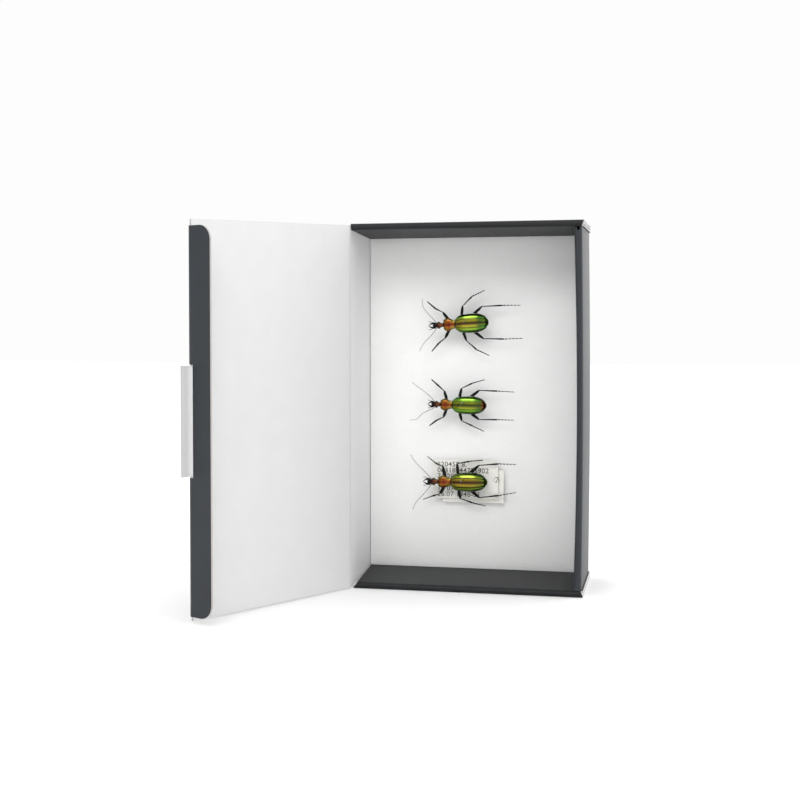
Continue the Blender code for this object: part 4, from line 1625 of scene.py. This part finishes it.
# root radius, tip radius and waist of the foot's joints
FOOT_SIZES = {
    "broad": (0.48, 0.28, 0.6), "front": (0.28, 0.2, 0.5), "middle": (0.3, 0.21, 0.5),
    "hind": (0.25, 0.18, 0.32),
}
ALONG_LIMB = 12
HIP_SIZE, KNEE_RADIUS = (0.62, 0.45, 0.62), 0.26  # mm on a beetle of scale 1, as all below
SPUR_LENGTH, SPUR_RADII = 0.8, (0.07, 0.015)
CLAW_LENGTHS, CLAW_DIP, CLAW_RADII = (0.3, 0.5), 0.12, (0.06, 0.045, 0.012)
SPUR_SPREAD, CLAW_SPREAD = 0.35, 0.3  # radians to each side of the limb
THIGH_BOW, SHIN_BOW = 0.05, 0.02  # shares of their length


def heading(degrees):
    """The direction at that angle from +X towards +Z, in the plane of the foam."""
    angle = math.radians(degrees)
    return Vector((math.cos(angle), 0, math.sin(angle)))


def leg_corners(beetle, pair, side, directions):
    """Hip, knee, ankle and claws in the row frame."""
    plan, scale = LEGS[pair], beetle["scale"]
    corners = [beetle["matrix"] @ Vector((plan["root"][0], side * plan["root"][1], -LEG_ROOT_DEPTH))]
    for length, direction, drop in zip(plan["lengths"], directions, plan["drops"]):
        corner = corners[-1] + heading(direction) * length * MM * scale * beetle["leg_reach"]
        corner.y = corners[0].y + drop * MM * scale
        corners.append(corner)
    return corners


def limb_part(bm, start, end, girths, scale, bow):
    """A thigh or shin: round sections of those girths, bowed a little off the foam."""
    shares = [k / ALONG_LIMB for k in range(ALONG_LIMB + 1)]
    lift = Vector((0, -bow * (end - start).length, 0))
    points = [start.lerp(end, s) + lift * math.sin(math.pi * s) for s in shares]
    tube(bm, points, [spaced(girths, s) * scale for s in shares])


def leg(beetle, pair, side, directions):
    """One whole leg as a mesh in the row frame."""
    hip, knee, ankle, tip = leg_corners(beetle, pair, side, directions)
    size = beetle["scale"] * MM
    bm = bmesh.new()
    ball(bm, hip, [span * size for span in HIP_SIZE])
    limb_part(bm, hip, knee, THIGH_GIRTHS, size, THIGH_BOW)
    ball(bm, knee, (KNEE_RADIUS * size,) * 3, sides=10, rows=6)
    limb_part(bm, knee, ankle, SHIN_GIRTHS, size, SHIN_BOW)
    along = (ankle - knee).normalized()
    out = Vector((0, 1, 0)).cross(along)
    for turned in (SPUR_SPREAD, -SPUR_SPREAD):
        spur = along * math.cos(turned) + out * math.sin(turned)
        spur_end = ankle + spur * SPUR_LENGTH * size
        tube(bm, [ankle, spur_end], [radius * size for radius in SPUR_RADII], sides=6)
    foot_end = ankle.lerp(tip, 0.9)
    broad = pair == "front" and beetle["broad_feet"]
    root, thin, waist = FOOT_SIZES["broad" if broad else pair]
    bm.from_mesh(jointed([ankle, foot_end], FOOT_JOINTS, root * size, thin * size, waist, BLACK))
    way = (tip - ankle).normalized()
    for turned in (CLAW_SPREAD, -CLAW_SPREAD):
        hook = way * math.cos(turned) + Vector((0, 1, 0)).cross(way) * math.sin(turned)
        bend = foot_end + hook * CLAW_LENGTHS[0] * size
        claw = foot_end + hook * CLAW_LENGTHS[1] * size + Vector((0, CLAW_DIP * size, 0))
        tube(bm, [foot_end, bend, claw], [radius * size for radius in CLAW_RADII], sides=6)
    bmesh.ops.recalc_face_normals(bm, faces=bm.faces)
    return bm


for number, beetle in enumerate(BEETLES, 1):
    for side_name, side in (("right", 1), ("left", -1)):
        for pair, directions in beetle["legs"][side_name].items():
            piece = make_piece(
                f"beetle_{number}_{side_name}_{pair}_limb", leg(beetle, pair, side, directions),
                BLACK, smooth_under=60,
            )
            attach(piece, "carton")
            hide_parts(f"beetle_{number}_{side_name}_{pair}_leg")
print("legs:", 6 * len(BEETLES))

# %% Antennae
ANTENNA_SOCKET = (-7.35, 0.95, 0.15)  # on the head
ANTENNA_ROOT = (-7.9, 1.7, 0.3)  # the end of the first joint
ANTENNA_STRETCH = 3.0  # length of each of its straight stretches, mm
ANTENNA_JOINTS = 11
ANTENNA_SIZES = (0.15, 0.095, 0.55)  # root radius, tip radius and waist of its joints
SOCKET_RADIUS = 0.2


def eased(points, rounds=2):
    """Cuts the corners off a line, which keeps its two ends."""
    for _ in range(rounds):
        cut = [points[0]]
        for a, b in zip(points, points[1:]):
            cut += [a.lerp(b, 0.25), a.lerp(b, 0.75)]
        points = cut + [points[-1]]
    return points


def antenna(beetle, side, directions):
    """One antenna from its socket on the head out to its tip."""
    u, v, w = ANTENNA_SOCKET
    root_u, root_v, root_w = ANTENNA_ROOT
    u, root_u = reached(u, beetle["muzzle"]), reached(root_u, beetle["muzzle"])
    points = [beetle["matrix"] @ Vector((u, side * v, w))]
    points.append(beetle["matrix"] @ Vector((root_u, side * root_v, root_w)))
    for direction in directions:
        points.append(points[-1] + heading(direction) * ANTENNA_STRETCH * MM * beetle["scale"])
    size = beetle["scale"] * MM
    bm = bmesh.new()
    root, thin, waist = ANTENNA_SIZES
    bm.from_mesh(jointed(eased(points), ANTENNA_JOINTS, root * size, thin * size, waist, HORN))
    ball(bm, points[0], (SOCKET_RADIUS * size,) * 3, sides=10, rows=6)
    bmesh.ops.recalc_face_normals(bm, faces=bm.faces)
    return bm


for number, beetle in enumerate(BEETLES, 1):
    for side_name, side in (("right", 1), ("left", -1)):
        piece = make_piece(
            f"beetle_{number}_{side_name}_feeler",
            antenna(beetle, side, beetle["antennae"][side_name]), HORN, smooth_under=60,
        )
        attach(piece, "carton")
        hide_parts(f"beetle_{number}_{side_name}_antenna")

# %% [markdown]
# ## Pins
#
# Insect pins are stiff drawn wire with a small rolled head. Each goes through a right wing
# case and down into the foam. It is a turned shape, so it is round sections along one line.

# %% Pins
PIN_RADIUS, PIN_HEAD_RADIUS, PIN_POINT = 0.22, 0.32, 1.5  # mm


def pin(node):
    """A pin along Y in the place of its CAD node: rounded head, shaft and tapered point."""
    low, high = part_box(node)
    x, z = (low.x + high.x) / 2, (low.z + high.z) / 2
    head_end = low.y + 0.9 * PIN_HEAD_RADIUS * 2 * MM
    stops = []
    for k in range(1, 8):
        polar = math.pi * k / 8
        y = low.y + (head_end - low.y) * (1 - math.cos(polar)) / 2
        stops.append((y, PIN_HEAD_RADIUS * math.sin(polar)))
    shaft_end = high.y - PIN_POINT * MM
    stops += [(head_end, PIN_RADIUS), (shaft_end, PIN_RADIUS), (high.y, PIN_RADIUS * 0.12)]
    bm = bmesh.new()
    tube(bm, [(x, y, z) for y, _ in stops], [radius * MM for _, radius in stops], sides=16)
    bmesh.ops.recalc_face_normals(bm, faces=bm.faces)
    return bm


for number in range(1, len(BEETLES) + 1):
    piece = make_piece(f"steel_pin_{number}", pin(f"pin_{number}"), STEEL, smooth_under=50)
    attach(piece, "carton")
    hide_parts(f"pin_{number}")
print("pins:", len(BEETLES))
